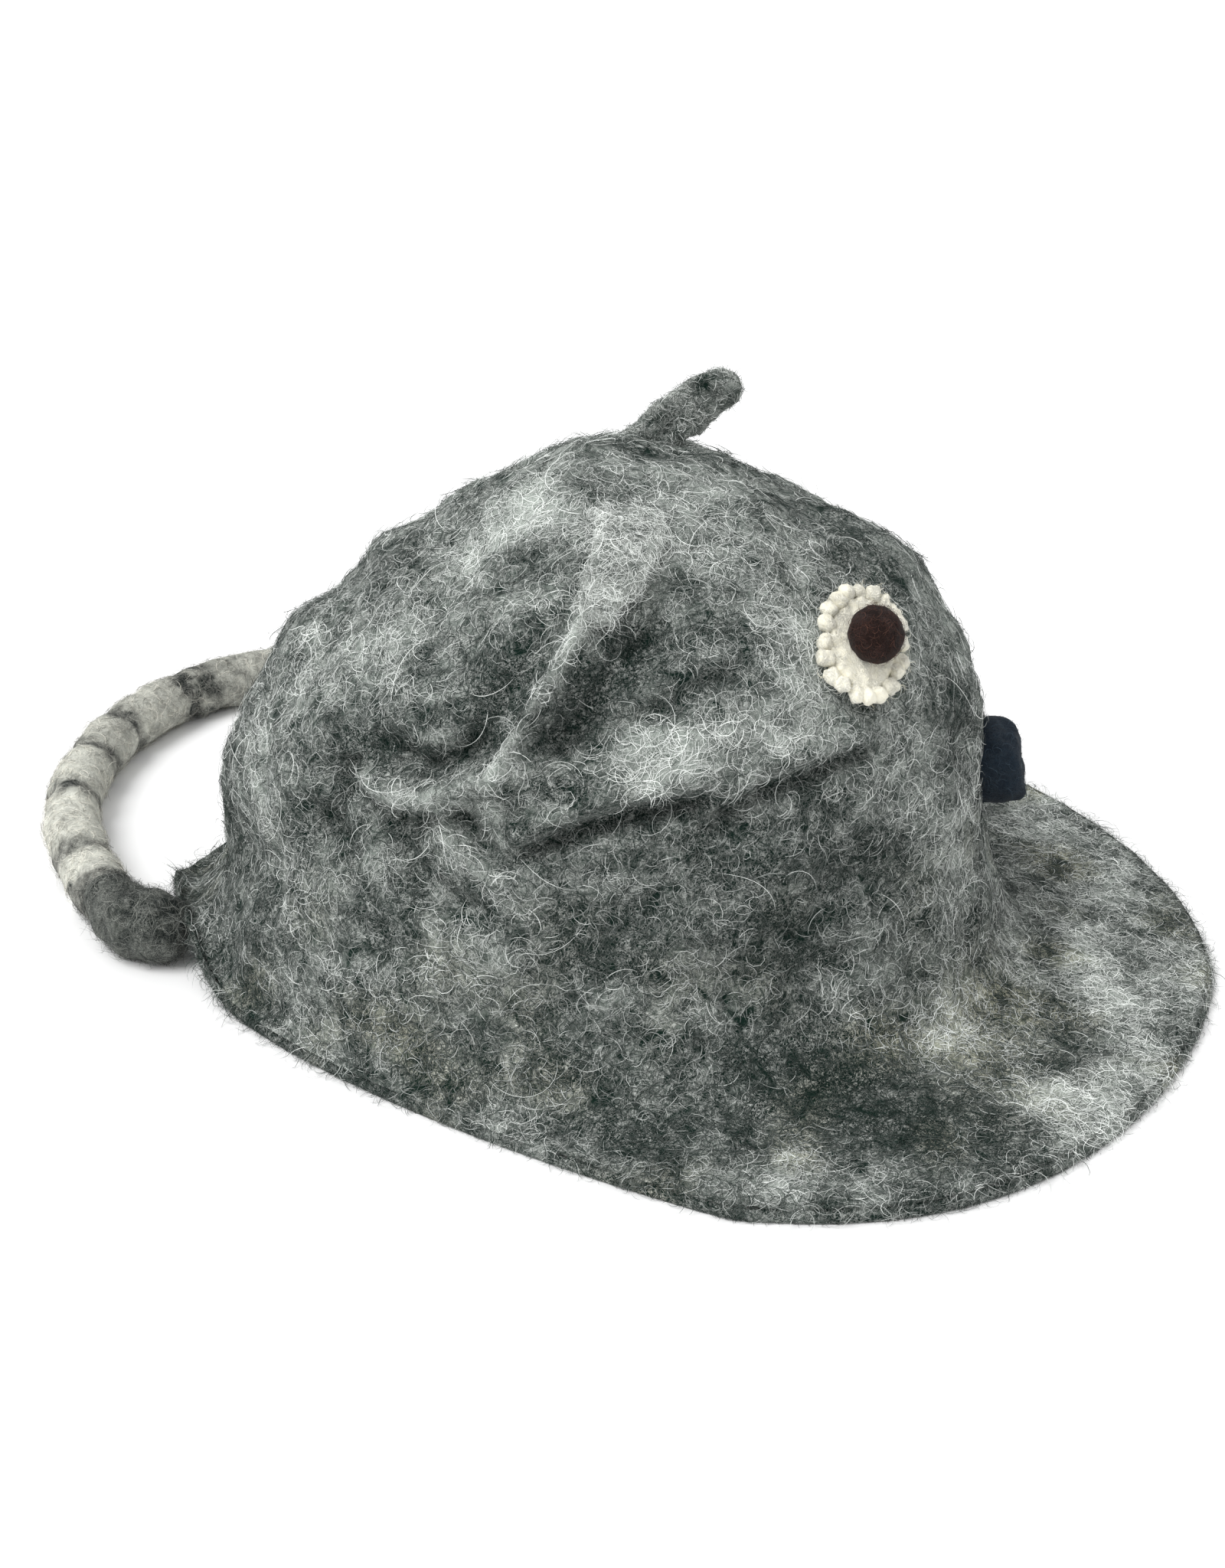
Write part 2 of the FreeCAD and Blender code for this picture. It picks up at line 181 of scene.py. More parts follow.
def carded_wool():
    """The look of carded wool as a node group. Hair lines are where a twisted noise crosses its
    middle value; they lie pale over a mottled ground that goes from the dark to the light dye."""
    group = bpy.data.node_groups.new("carded_wool", "ShaderNodeTree")
    face = group.interface
    face.new_socket("Vector", in_out="INPUT", socket_type="NodeSocketVector")
    for name, value in (("Tone", 0.5), ("Mottle", 0.5), ("Hair", 0.6), ("Hair Scale", 380.0)):
        face.new_socket(name, in_out="INPUT", socket_type="NodeSocketFloat").default_value = value
    for name in ("Dark", "Light", "Hair Colour"):
        face.new_socket(name, in_out="INPUT", socket_type="NodeSocketColor")
    face.new_socket("Colour", in_out="OUTPUT", socket_type="NodeSocketColor")
    face.new_socket("Height", in_out="OUTPUT", socket_type="NodeSocketFloat")
    nodes, links = group.nodes, group.links
    given, made = nodes.new("NodeGroupInput"), nodes.new("NodeGroupOutput")

    def sums(kind, a, b, clamp=False):
        node = nodes.new("ShaderNodeMath")
        node.operation, node.use_clamp = kind, clamp
        for socket, value in zip(node.inputs, (a, b)):
            if isinstance(value, (int, float)):
                socket.default_value = value
            else:
                links.new(value, socket)
        return node.outputs[0]

    def noise(scale, detail, rough, twist):
        node = nodes.new("ShaderNodeTexNoise")
        links.new(given.outputs["Vector"], node.inputs["Vector"])
        if isinstance(scale, (int, float)):
            node.inputs["Scale"].default_value = scale
        else:
            links.new(scale, node.inputs["Scale"])
        node.inputs["Detail"].default_value = detail
        node.inputs["Roughness"].default_value = rough
        node.inputs["Distortion"].default_value = twist
        return node.outputs["Fac"]

    def lines(value, thin):
        away = sums("ABSOLUTE", sums("SUBTRACT", value, 0.5), 0.0)
        return sums("SUBTRACT", 1.0, sums("MULTIPLY", away, thin), clamp=True)

    patches = noise(38.0, 4.0, 0.62, 0.6)
    tufts = noise(150.0, 4.0, 0.68, 1.2)
    grain = noise(900.0, 2.0, 0.6, 0.5)
    hair_scale = given.outputs["Hair Scale"]
    hair = sums("MAXIMUM", lines(noise(hair_scale, 1.5, 0.5, 2.4), 16.0),
                lines(noise(sums("MULTIPLY", hair_scale, 1.7), 1.0, 0.5, 1.8), 11.0))
    thick = sums("MULTIPLY", sums("SUBTRACT", tufts, 0.36), 4.0, clamp=True)
    hair = sums("MULTIPLY", hair, thick)
    mottled = sums("ADD", sums("MULTIPLY", sums("SUBTRACT", patches, 0.5), 1.5),
                   sums("MULTIPLY", sums("SUBTRACT", tufts, 0.5), 1.6))
    mottled = sums("ADD", mottled, sums("MULTIPLY", sums("SUBTRACT", grain, 0.5), 0.6))
    mottled = sums("MULTIPLY", mottled, given.outputs["Mottle"])
    ground = sums("ADD", given.outputs["Tone"], mottled, clamp=True)

    def blend(amount, one, other):
        node = nodes.new("ShaderNodeMix")
        node.data_type = "RGBA"
        links.new(amount, node.inputs[0])
        links.new(one, node.inputs[6])
        links.new(other, node.inputs[7])
        return node.outputs[2]

    wool = blend(ground, given.outputs["Dark"], given.outputs["Light"])
    shown = sums("MULTIPLY", hair, given.outputs["Hair"])
    links.new(blend(shown, wool, given.outputs["Hair Colour"]), made.inputs["Colour"])
    height = sums("ADD", sums("MULTIPLY", hair, 0.5), sums("ADD", sums("MULTIPLY", grain, 0.35), tufts))
    links.new(height, made.inputs["Height"])
    return group


CARDED_WOOL = carded_wool()


def felt_finish(name, dark, light, hair_colour, tone, mottle, hair, hair_scale=380.0, depth=0.0006,
                rough=0.92, sheen=0.06):
    """A felt material: the wool group on Object coordinates, its colour and its height as bump. The
    tone is a number or the name of a piece's own attribute."""
    finish = bpy.data.materials.new(name)
    finish.use_nodes = True
    nodes, links = finish.node_tree.nodes, finish.node_tree.links
    shader = nodes["Principled BSDF"]
    place = nodes.new("ShaderNodeTexCoord")
    wool = nodes.new("ShaderNodeGroup")
    wool.node_tree = CARDED_WOOL
    links.new(place.outputs["Object"], wool.inputs["Vector"])
    if isinstance(tone, str):
        reader = nodes.new("ShaderNodeAttribute")
        reader.attribute_name = tone
        links.new(reader.outputs["Fac"], wool.inputs["Tone"])
    else:
        wool.inputs["Tone"].default_value = tone
    for socket, value in (("Mottle", mottle), ("Hair", hair), ("Hair Scale", hair_scale),
                          ("Dark", dark), ("Light", light), ("Hair Colour", hair_colour)):
        wool.inputs[socket].default_value = value
    relief = nodes.new("ShaderNodeBump")
    relief.inputs["Distance"].default_value = depth
    relief.inputs["Strength"].default_value = 0.9
    links.new(wool.outputs["Height"], relief.inputs["Height"])
    links.new(relief.outputs["Normal"], shader.inputs["Normal"])
    links.new(wool.outputs["Colour"], shader.inputs["Base Color"])
    shader.inputs["Roughness"].default_value = rough
    shader.inputs["Specular IOR Level"].default_value = 0.15
    shader.inputs["Sheen Weight"].default_value = sheen
    shader.inputs["Sheen Roughness"].default_value = 0.5
    return finish


def hair_finish(name, low, high, rough=0.75):
    """Single wool hairs: each takes its own shade, from low to high, from the attribute shade."""
    finish = bpy.data.materials.new(name)
    finish.use_nodes = True
    nodes, links = finish.node_tree.nodes, finish.node_tree.links
    shader = nodes["Principled BSDF"]
    reader = nodes.new("ShaderNodeAttribute")
    reader.attribute_name = "shade"
    mixer = nodes.new("ShaderNodeMix")
    mixer.data_type = "RGBA"
    mixer.inputs[6].default_value, mixer.inputs[7].default_value = low, high
    links.new(reader.outputs["Fac"], mixer.inputs[0])
    links.new(mixer.outputs[2], shader.inputs["Base Color"])
    shader.inputs["Roughness"].default_value = rough
    shader.inputs["Specular IOR Level"].default_value = 0.2
    return finish


def loose_hairs(name, piece, count, seed, length=(0.004, 0.009), curl=(0.0014, 0.005), width=0.00013,
                lift=0.0006, wild=0.06, shade=None, keep=None, steps=5):
    """Loose wool hairs over a piece, as thin ribbons. Each starts at a random point of a face and
    walks over the surface in equal steps, turning at its own rate, so that it curls. It rises as
    half a wave and comes down again; the wild ones keep rising. shade turns the piece's own tone at
    the root into the hair's tone, from 0 to 1. No hair goes below the table."""
    rng = np.random.default_rng(seed)
    mesh = piece.data
    mesh.calc_loop_triangles()
    corners = np.empty(len(mesh.loop_triangles) * 3, np.int32)
    mesh.loop_triangles.foreach_get("vertices", corners)
    corners = corners.reshape(-1, 3)
    points = np.empty(len(mesh.vertices) * 3, np.float32)
    mesh.vertices.foreach_get("co", points)
    points = points.reshape(-1, 3).astype(float)
    one, two, three = (points[corners[:, i]] for i in range(3))
    outward = np.cross(two - one, three - one)
    weight = np.linalg.norm(outward, axis=1)
    outward /= np.maximum(weight, 1e-18)[:, None]
    if keep is not None:
        weight = weight * keep((one + two + three) / 3, outward)
    chosen = rng.choice(len(corners), count, p=weight / weight.sum())
    a, b = rng.uniform(size=(2, count, 1))
    fold = a + b > 1
    a, b = np.where(fold, 1 - a, a), np.where(fold, 1 - b, b)
    root = one[chosen] * (1 - a - b) + two[chosen] * a + three[chosen] * b
    ground = np.full(len(points), 0.5, np.float32)
    if "tone" in mesh.attributes:
        mesh.attributes["tone"].data.foreach_get("value", ground)
    ground = ground[corners[chosen]]
    ground = ground[:, 0] * (1 - a - b)[:, 0] + ground[:, 1] * a[:, 0] + ground[:, 2] * b[:, 0]
    normal = outward[chosen]
    across = np.cross(normal, rng.normal(size=(count, 3)))
    across /= np.linalg.norm(across, axis=1, keepdims=True)
    along = np.cross(across, normal)
    hair_length = rng.uniform(*length, count)
    turn = hair_length / rng.uniform(*curl, count) * rng.choice([-1.0, 1.0], count)
    bend = rng.normal(0, 0.9, count)
    is_wild = rng.uniform(size=count) < wild
    part = np.linspace(0, 1, steps + 1)
    heading = turn[:, None] * (part + bend[:, None] * part * (part - 1))
    step = hair_length[:, None] / steps
    east = np.cumsum(np.cos(heading) * step, 1) - np.cos(heading) * step
    north = np.cumsum(np.sin(heading) * step, 1) - np.sin(heading) * step
    rise = np.where(is_wild[:, None], 3.2 * part**1.3, np.sin(math.pi * part))
    rise = rise * lift * rng.uniform(0.3, 1.6, (count, 1)) + 0.00006
    middle = (root[:, None] + across[:, None] * east[..., None] + along[:, None] * north[..., None]
              + normal[:, None] * rise[..., None])
    aside = (-across[:, None] * np.sin(heading)[..., None] + along[:, None] * np.cos(heading)[..., None]
             + normal[:, None] * rng.normal(0, 0.6, (count, 1, 1)))
    aside /= np.linalg.norm(aside, axis=-1, keepdims=True)
    half_width = width / 2 * rng.uniform(0.6, 1.3, (count, 1, 1)) * (1 - 0.75 * part[None, :, None] ** 3)
    both = np.stack([middle - aside * half_width, middle + aside * half_width], 2)
    both[..., 2] = np.maximum(both[..., 2], 0.0003)
    row = 2 * (steps + 1)
    base = np.arange(count)[:, None] * row + 2 * np.arange(steps)[None]
    quads = np.stack([base, base + 1, base + 3, base + 2], -1)
    hairs = put_together(name, both, quads)
    tones = shade(ground, rng) if shade else rng.uniform(size=count)
    mark(hairs, "shade", np.repeat(np.clip(tones, 0, 1), row))
    return hairs


# The rope's route in metres, from the ball in the root's cup to the middle of the rounded end.
TAIL_ROUTE = [
    (-0.0136, 0.1602, 0.0086), (0.0050, 0.1735, 0.0086), (0.0310, 0.1865, 0.0086),
    (0.0620, 0.1935, 0.0086), (0.0950, 0.1920, 0.0086), (0.1260, 0.1810, 0.0086),
    (0.1480, 0.1580, 0.0086), (0.1570, 0.1280, 0.0086), (0.1555, 0.0970, 0.0086),
    (0.1465, 0.0680, 0.0086), (0.1310, 0.0420, 0.0086),
]
tail_radius = 0.0085

route = bpy.data.curves.new("tail_route", "CURVE")
route.dimensions = "3D"
route.resolution_u = 24
spline = route.splines.new("NURBS")
spline.points.add(len(TAIL_ROUTE) - 1)
for control, place in zip(spline.points, TAIL_ROUTE):
    control.co = (*place, 1.0)
spline.order_u = 3
spline.use_endpoint_u = True
route_object = bpy.data.objects.new("tail_route", route)
scene.collection.objects.link(route_object)
bpy.context.view_layer.update()
route_mesh = bpy.data.meshes.new_from_object(route_object)
tail_path = np.array([v.co for v in route_mesh.vertices])
bpy.data.objects.remove(route_object)
bpy.data.meshes.remove(route_mesh)


def tube_round(path, radius_at, columns, rows, seed, rough_size, rough_depth, flat_z=None):
    """A rope along a path: rings of the radius that radius_at gives at each distance, square to the
    path, with a half ball at each end. Slow waviness rough_depth high is added to the radius."""
    gone = np.concatenate([[0], np.cumsum(np.linalg.norm(np.diff(path, axis=0), axis=1))])
    whole = gone[-1]
    end = radius_at(np.array([0.0, whole]))
    cap = np.linspace(0, math.pi / 2, 9)[1:-1]
    places = [-end[0] * np.cos(cap), np.linspace(0, whole, rows), whole + end[1] * np.sin(cap)]
    places = np.concatenate(places)
    shrink = np.concatenate([np.sin(cap), np.ones(rows), np.cos(cap)])
    inside = np.clip(places, 0, whole)
    centre = np.stack([np.interp(inside, gone, path[:, i]) for i in range(3)], -1)
    ahead = np.stack([np.interp(np.clip(inside + 0.002, 0, whole), gone, path[:, i])
                      - np.interp(np.clip(inside - 0.002, 0, whole), gone, path[:, i]) for i in range(3)], -1)
    ahead /= np.linalg.norm(ahead, axis=1, keepdims=True)
    centre = centre + ahead * (places - inside)[:, None]
    side = np.cross(ahead, (0, 0, 1.0))
    side /= np.linalg.norm(side, axis=1, keepdims=True)
    up = np.cross(side, ahead)
    turn = np.linspace(0, 2 * math.pi, columns, endpoint=False)
    ring = side[:, None] * np.cos(turn)[None, :, None] + up[:, None] * np.sin(turn)[None, :, None]
    reach = (radius_at(inside) * shrink)[:, None] * np.ones(columns)
    rough_at = centre[:, None] + ring * reach[..., None]
    reach = reach + rough_depth * shrink[:, None] * drift(rough_at, rough_size, seed)
    rings = centre[:, None] + ring * reach[..., None]
    if flat_z is not None:
        rings[..., 2] = np.maximum(rings[..., 2], flat_z)
    return rings, np.repeat(places[:, None], columns, 1), np.repeat(turn[None], len(places), 0)


# Each band: how far along the rope, half its length, how dark, and how far the rope is pulled in there.
TAIL_BANDS = [
    (0.0240, 0.0050, 0.82, 0.0007), (0.0640, 0.0042, 0.88, 0.0009), (0.0940, 0.0046, 0.82, 0.0009),
    (0.1165, 0.0036, 0.92, 0.0011), (0.1490, 0.0036, 0.92, 0.0010), (0.1580, 0.0040, 0.62, 0.0002),
    (0.1930, 0.0042, 0.82, 0.0009), (0.2260, 0.0042, 0.86, 0.0009), (0.2580, 0.0040, 0.82, 0.0009),
    (0.2860, 0.0046, 0.78, 0.0007),
]


def tail_girth(gone):
    """The rope's radius along it: pulled in at each band by a bell curve."""
    girth = np.full_like(gone, tail_radius - 0.0003)
    for at, half_length, _, pull in TAIL_BANDS:
        girth = girth - pull * np.exp(-(((gone - at) / (0.8 * half_length)) ** 2))
    return girth


tail_rings, tail_gone, tail_turn = tube_round(
    tail_path, tail_girth, 56, 330, seed=5, rough_size=0.011, rough_depth=0.00022, flat_z=0.0002)
tail = skin_of_rings("tail_rope", tail_rings)
slant = 0.0022 * np.cos(tail_turn - 0.9) + 0.0009 * drift(tail_rings, 0.006, 8)
band = np.zeros(tail_gone.shape)
for at, half_length, dark, _ in TAIL_BANDS:
    edge = np.abs(tail_gone + slant - at) / half_length
    band = np.maximum(band, dark / (1 + edge**5))
band = np.maximum(band, 0.95 / (1 + np.exp((tail_gone + 2 * slant - 0.0085) / 0.0014)))
# The light parts: whitest at the root, greyer further on, and greyest past the two bands close together.
fresh = 0.86 - 0.24 * np.clip(tail_gone / 0.15, 0, 1) - 0.16 / (1 + np.exp((0.152 - tail_gone) / 0.002))
tail_tone = fresh * (1 - 0.95 * band) + 0.09 * drift(tail_rings, 0.006, 9)
tail_tone = tail_tone + 0.06 * drift(tail_rings, 0.0025, 11)
mark(tail, "tone", np.append(tail_tone.ravel(), [0.05, 0.6]))
banded_felt = felt_finish("banded_rope_felt", dye(30, 36, 34), dye(224, 225, 214), dye(240, 240, 230), "tone",
                          mottle=0.42, hair=0.42, hair_scale=460.0, depth=0.0005)
dress(tail, banded_felt, "tail", "tail_felt", "tail")

tail_fuzz = loose_hairs(
    "tail_fuzz", tail, 9000, 21, length=(0.003, 0.006), width=0.00011, lift=0.0004, wild=0.05,
    shade=lambda tone, rng: np.where(rng.uniform(size=len(tone)) < 0.55, tone * 1.35, tone * 0.45))
dress(tail_fuzz, hair_finish("rope_hairs", dye(60, 62, 60), dye(235, 232, 220)), "tail", "tail_felt")

# The root: a stub of dark wool, thickest where it is worked into the brim, hollow at its outer end.
root_path = np.array([(-0.0300, 0.1410, 0.0096), (-0.0272, 0.1475, 0.0097), (-0.0230, 0.1528, 0.0095),
                      (-0.0180, 0.1565, 0.0092)])
root_length, root_radius, root_draws_in = 0.018, 0.0096, 0.0007


def root_girth(gone):
    """The stub's radius: full next to the brim and drawn in to the rope's own girth."""
    return root_radius - root_draws_in * (gone / root_length) ** 1.3


root_rings, _, _ = tube_round(
    root_path, root_girth, 56, 60, seed=6, rough_size=0.012, rough_depth=0.0005, flat_z=0.0002)
tail_stub = skin_of_rings("tail_root_felt", root_rings)
mark(tail_stub, "tone", np.append((0.12 + 0.06 * drift(root_rings, 0.008, 10)).ravel(), [0.1, 0.1]))
dark_felt = felt_finish("dark_root_felt", dye(20, 27, 25), dye(150, 154, 146), dye(190, 194, 186), "tone",
                        mottle=0.45, hair=0.50, hair_scale=480.0)
dress(tail_stub, dark_felt, "tail_root", "tail_dark_felt", "tail_root")
root_fuzz = loose_hairs(
    "tail_root_fuzz", tail_stub, 1500, 22, length=(0.003, 0.007), width=0.0001, lift=0.0006, wild=0.12,
    shade=lambda tone, rng: rng.uniform(0.0, 0.8, len(tone)) ** 2)
root_hairs = hair_finish("root_hairs", dye(34, 40, 40), dye(190, 192, 184))
dress(root_fuzz, root_hairs, "tail_root", "tail_dark_felt")


# ---- The felt skin: crown, brim and visor ----
# One piece of wet-felted wool, pulled off its block by hand: a dome that runs out into a brim with a
# wide visor, soft enough to slump in folds and dents.

crown_height, crown_half_width = 0.1425, 0.086
crown_front_reach, crown_back_reach, crown_centre_y = 0.106, 0.101, 0.026
felt_thickness = 0.0045


def crown_at(angle, z, shrink=0.0):
    """The dome before it slumps, at angles from the front towards the hat's right and at heights z.
    Its half-width and its reach draw in with the part of the height t as (1 - t to a power) to a root."""
    part = np.clip(z / (crown_height - shrink), 0, 1)
    side = (1 - part**4.0) ** (1 / 1.8)
    fore = np.where(np.cos(angle) > 0, (crown_front_reach - shrink) * (1 - part**7.0),
                    (crown_back_reach - shrink) * (1 - part**3.2))
    x = -(crown_half_width - shrink) * side * np.sin(angle)
    y = crown_centre_y - fore * np.cos(angle)
    return np.stack(np.broadcast_arrays(x, y, z * 1.0), -1)


brim_half_width, brim_half_length, brim_widest_y = 0.130, 0.145, -0.026


def brim_at(angle):
    """The brim's outline: an egg, broad in front of the middle and narrow at the back."""
    y = -brim_half_length * np.cos(angle)
    ahead = np.clip((brim_widest_y - y) / (brim_widest_y + brim_half_length), 0, 1)
    behind = np.clip((y - brim_widest_y) / (brim_half_length - brim_widest_y), 0, 1)
    wide = np.where(y < brim_widest_y, (1 - ahead**2.4) ** (1 / 1.6), (1 - behind**1.1) ** (1 / 1.93))
    return np.stack([-np.sign(np.sin(angle)) * brim_half_width * wide, y, np.zeros_like(y)], -1)


def evenly_high(low, top, rows, shrink=0.0):
    """Heights from low to top whose steps along the dome are about equal, averaged over its sides."""
    z = top * (1 - np.linspace(1, 0, 4000) ** 3)
    z = z[z >= low]
    gone = 0
    for angle in (0.0, 1.2, 2.2, 3.1):
        path = crown_at(np.full_like(z, angle), z, shrink)
        gone = gone + np.concatenate([[0], np.cumsum(np.linalg.norm(np.diff(path, axis=0), axis=1))])
    return np.interp(np.linspace(0, gone[-1], rows), gone, z)


columns = 430
wall_rows, flare_rows, run_rows, roll_rows, under_rows, inner_rows = 118, 16, 19, 8, 7, 34
around = np.linspace(0, 2 * math.pi, columns, endpoint=False)
brim_top, brim_rise, brim_dip, edge_droop = 0.0052, 0.0060, 0.0012, 0.0012
outline = brim_at(around)
# The brim's back is pushed out a little. It is turned up beside the tail's root, and less on the
# root's other side, and turning it up draws its edge in again.
outline[:, 1] += 0.0035 * np.exp(-(((np.degrees(around) - 168) / 22) ** 2))
from_root = np.degrees(around) - 166
lip = 0.0125 * np.exp(-np.abs(from_root / 17) ** 2.6) + 0.004 * np.exp(-(((from_root - 34) / 14) ** 2))
outline[:, 1] -= 0.5 * lip
foot = crown_at(around, np.zeros(columns))
brim_width = np.linalg.norm((outline - foot)[:, :2], axis=1)


def brim_height(part):
    """The brim's top over its width: it falls from the dome, dips in the middle, droops at the very
    edge, and lifts with the lip."""
    level = brim_top + brim_rise * (1 - part) ** 1.6 - brim_dip * np.sin(math.pi * part)
    return level - edge_droop * part**12 + lip * part**1.5


# The wall runs out into the brim in a long sweep along the sides and a shorter one at the visor.
sideways = np.clip(1 - np.cos(around), 0, 1)
flare = np.minimum(0.016 + 0.014 * sideways, (0.6 + 0.25 * sideways) * brim_width)
flare_high = 0.024 + 0.016 * sideways
wall_top = evenly_high(0.0, crown_height * 0.99985, 400)[::-1]
wall_stop = brim_height(np.zeros(columns)) + flare_high
stop_at = np.interp(-wall_stop, -wall_top, np.arange(len(wall_top)))
wall_z = np.interp(np.linspace(0, 1, wall_rows)[:, None] * stop_at, np.arange(len(wall_top)), wall_top)
wall = crown_at(around[None], wall_z)
sweep = np.linspace(0, math.pi / 2, flare_rows + 1)[1:, None]
swept_part = flare * (1 - np.cos(sweep)) / brim_width
swept = foot + (outline - foot) * swept_part[..., None]
swept[..., 2] = brim_height(swept_part) + flare_high * (1 - np.sin(sweep))
# The wall still leans in a little where the sweep starts, so the sweep takes over that lean.
lean_in = (wall[-1] - foot)[None] * (1 - np.sin(sweep))[..., None]
swept[..., :2] += lean_in[..., :2]
run_part = np.linspace(0, 1, run_rows + 1)[1:, None]
run_part = flare / brim_width + (1 - flare / brim_width) * run_part * 0.985
run = foot + (outline - foot) * run_part[..., None]
run[..., 2] = brim_height(run_part)
outer = np.concatenate([wall, swept, run])

# The brim's rounded edge, its underside, and the dome's inside.
outwards = (outline - foot) / brim_width[:, None]
edge_round = 0.0026
roll = np.linspace(0, math.pi, roll_rows + 1)[1:, None, None]
edge = outline + outwards * (edge_round * (np.sin(roll) - 1.0)) + np.zeros((roll_rows, columns, 3))
edge[..., 2] = brim_height(np.ones(1)) - edge_round + edge_round * np.cos(roll[..., 0])
inner_foot = crown_at(around, np.zeros(columns), felt_thickness)
under_part = np.linspace(0.06, 0.97, under_rows)[:, None]
under = outline + (inner_foot - outline) * under_part[..., None]
under[..., 2] = edge[-1, :, 2] * (1 - under_part) ** 1.5 + 0.0004
inner_z = evenly_high(0.0015, (crown_height - felt_thickness) * 0.9995, inner_rows, felt_thickness)
inner = crown_at(around[None], inner_z[:, None], felt_thickness)


# Each fold runs over the points (angle in degrees, height in mm), left to right as seen from the
# hat's right side: half-width, how far the felt goes in (or out, if negative), how far it swells
# above and below the line, and how much painted shade lies in it (below 0, a painted highlight on
# the ridge or swelling); all in mm but the last.
FOLDS = [
    # the long crease over the right side and the short one in front of it
    ([(94, 67), (91, 69), (85, 74), (78, 78), (72, 80), (66, 81)], 2.7, 5.2, 4.6, 1.0, 0.30),
    ([(68, 75), (64, 77), (60, 81), (56, 83), (51, 84), (45, 86), (40, 88)], 2.6, 5.0, 3.4, 0.6, 0.28),
    # the roll that comes from the back, its crease below and its hollow above
    ([(128, 82), (121, 77), (114, 76), (107, 79), (101, 84), (96, 87)], 4.2, -6.0, 0.0, 0.0, -0.22),
    ([(124, 72), (117, 69), (110, 71), (106, 75)], 3.2, 4.2, 0.0, 0.0, 0.18),
    ([(122, 88), (113, 85), (106, 88), (99, 93)], 3.4, 4.6, 0.0, 0.0, 0.22),
    # the bulge under it, edged by two crescents
    ([(108, 78), (106, 72), (102, 66), (96, 61), (90, 59)], 2.8, -3.8, 0.0, 0.0, -0.20),
    ([(105, 76), (101, 70), (96, 66)], 2.6, 2.6, 0.0, 0.0, 0.14),
    ([(116, 66), (111, 58), (104, 52), (96, 49)], 4.2, 3.4, 0.0, 0.0, 0.14),
    ([(118, 58), (111, 49), (102, 44), (92, 43)], 4.2, -2.8, 0.0, 0.0, -0.12),
    # two dark pockets at the back and the groove between them
    ([(129, 82), (127, 77)], 5.2, 7.0, 0.0, 0.0, 0.26),
    ([(133, 66), (128, 60), (123, 58)], 4.2, 5.2, 0.0, 0.0, 0.22),
    ([(127, 76), (128, 68), (130, 62)], 2.6, 2.4, 0.0, 0.0, 0.10),
    # the ridge below the folded ear and the hollow in front of it
    ([(98, 84), (96, 92), (93, 99), (89, 107), (86, 114), (83, 121)], 2.1, -5.6, 0.0, 0.0, -0.36),
    ([(89, 90), (86, 98), (81, 107), (77, 113), (72, 118)], 5.2, 7.4, 0.0, 0.0, 0.32),
    ([(104, 92), (99, 101), (95, 110)], 4.0, 3.0, 0.0, 0.0, 0.16),
    ([(79, 99), (73, 102), (66, 106), (60, 108)], 2.8, 2.6, 1.4, 0.8, 0.16),
    # the broad pale swelling over the long crease
    ([(99, 84), (91, 86), (83, 89), (75, 92), (66, 92), (56, 93)], 7.0, -3.8, 0.0, 0.0, -0.16),
    # shallow slumps of the wall behind, in front and on the far side
    ([(150, 60), (152, 90), (146, 112)], 11.0, 2.4, 0.0, 0.0, 0.05),
    ([(62, 40), (52, 52), (40, 58)], 12.0, 2.6, 0.0, 0.0, 0.08),
    ([(20, 118), (14, 90), (16, 66)], 9.0, 1.6, 0.0, 0.0, 0.04),
    ([(248, 66), (262, 72), (276, 78), (292, 76)], 3.6, 4.2, 2.6, 1.0, 0.28),
    ([(300, 70), (312, 76), (322, 74)], 3.2, 3.0, 1.8, 0.6, 0.24),
    ([(232, 86), (246, 80), (258, 86), (268, 98)], 4.6, -3.4, 0.0, 0.0, -0.14),
    ([(212, 76), (218, 66), (226, 60)], 5.5, 4.2, 0.0, 0.0, 0.22),
    ([(186, 96), (180, 74), (184, 52)], 9.0, 3.0, 0.0, 0.0, 0.06),
    ([(128, 128), (146, 123), (164, 120), (184, 119), (206, 122)], 20.0, 3.7, 0.0, 0.0, 0.0),
    ([(140, 88), (158, 90), (176, 92)], 14.0, -2.6, 0.0, 0.0, 0.0),
    ([(134, 38), (152, 42), (172, 44)], 15.0, 4.6, 0.0, 0.0, 0.0),
    ([(330, 104), (318, 108), (304, 104)], 6.0, -2.2, 0.0, 0.0, -0.08),
]


fold_steps = 60
fold_shade = 1.25


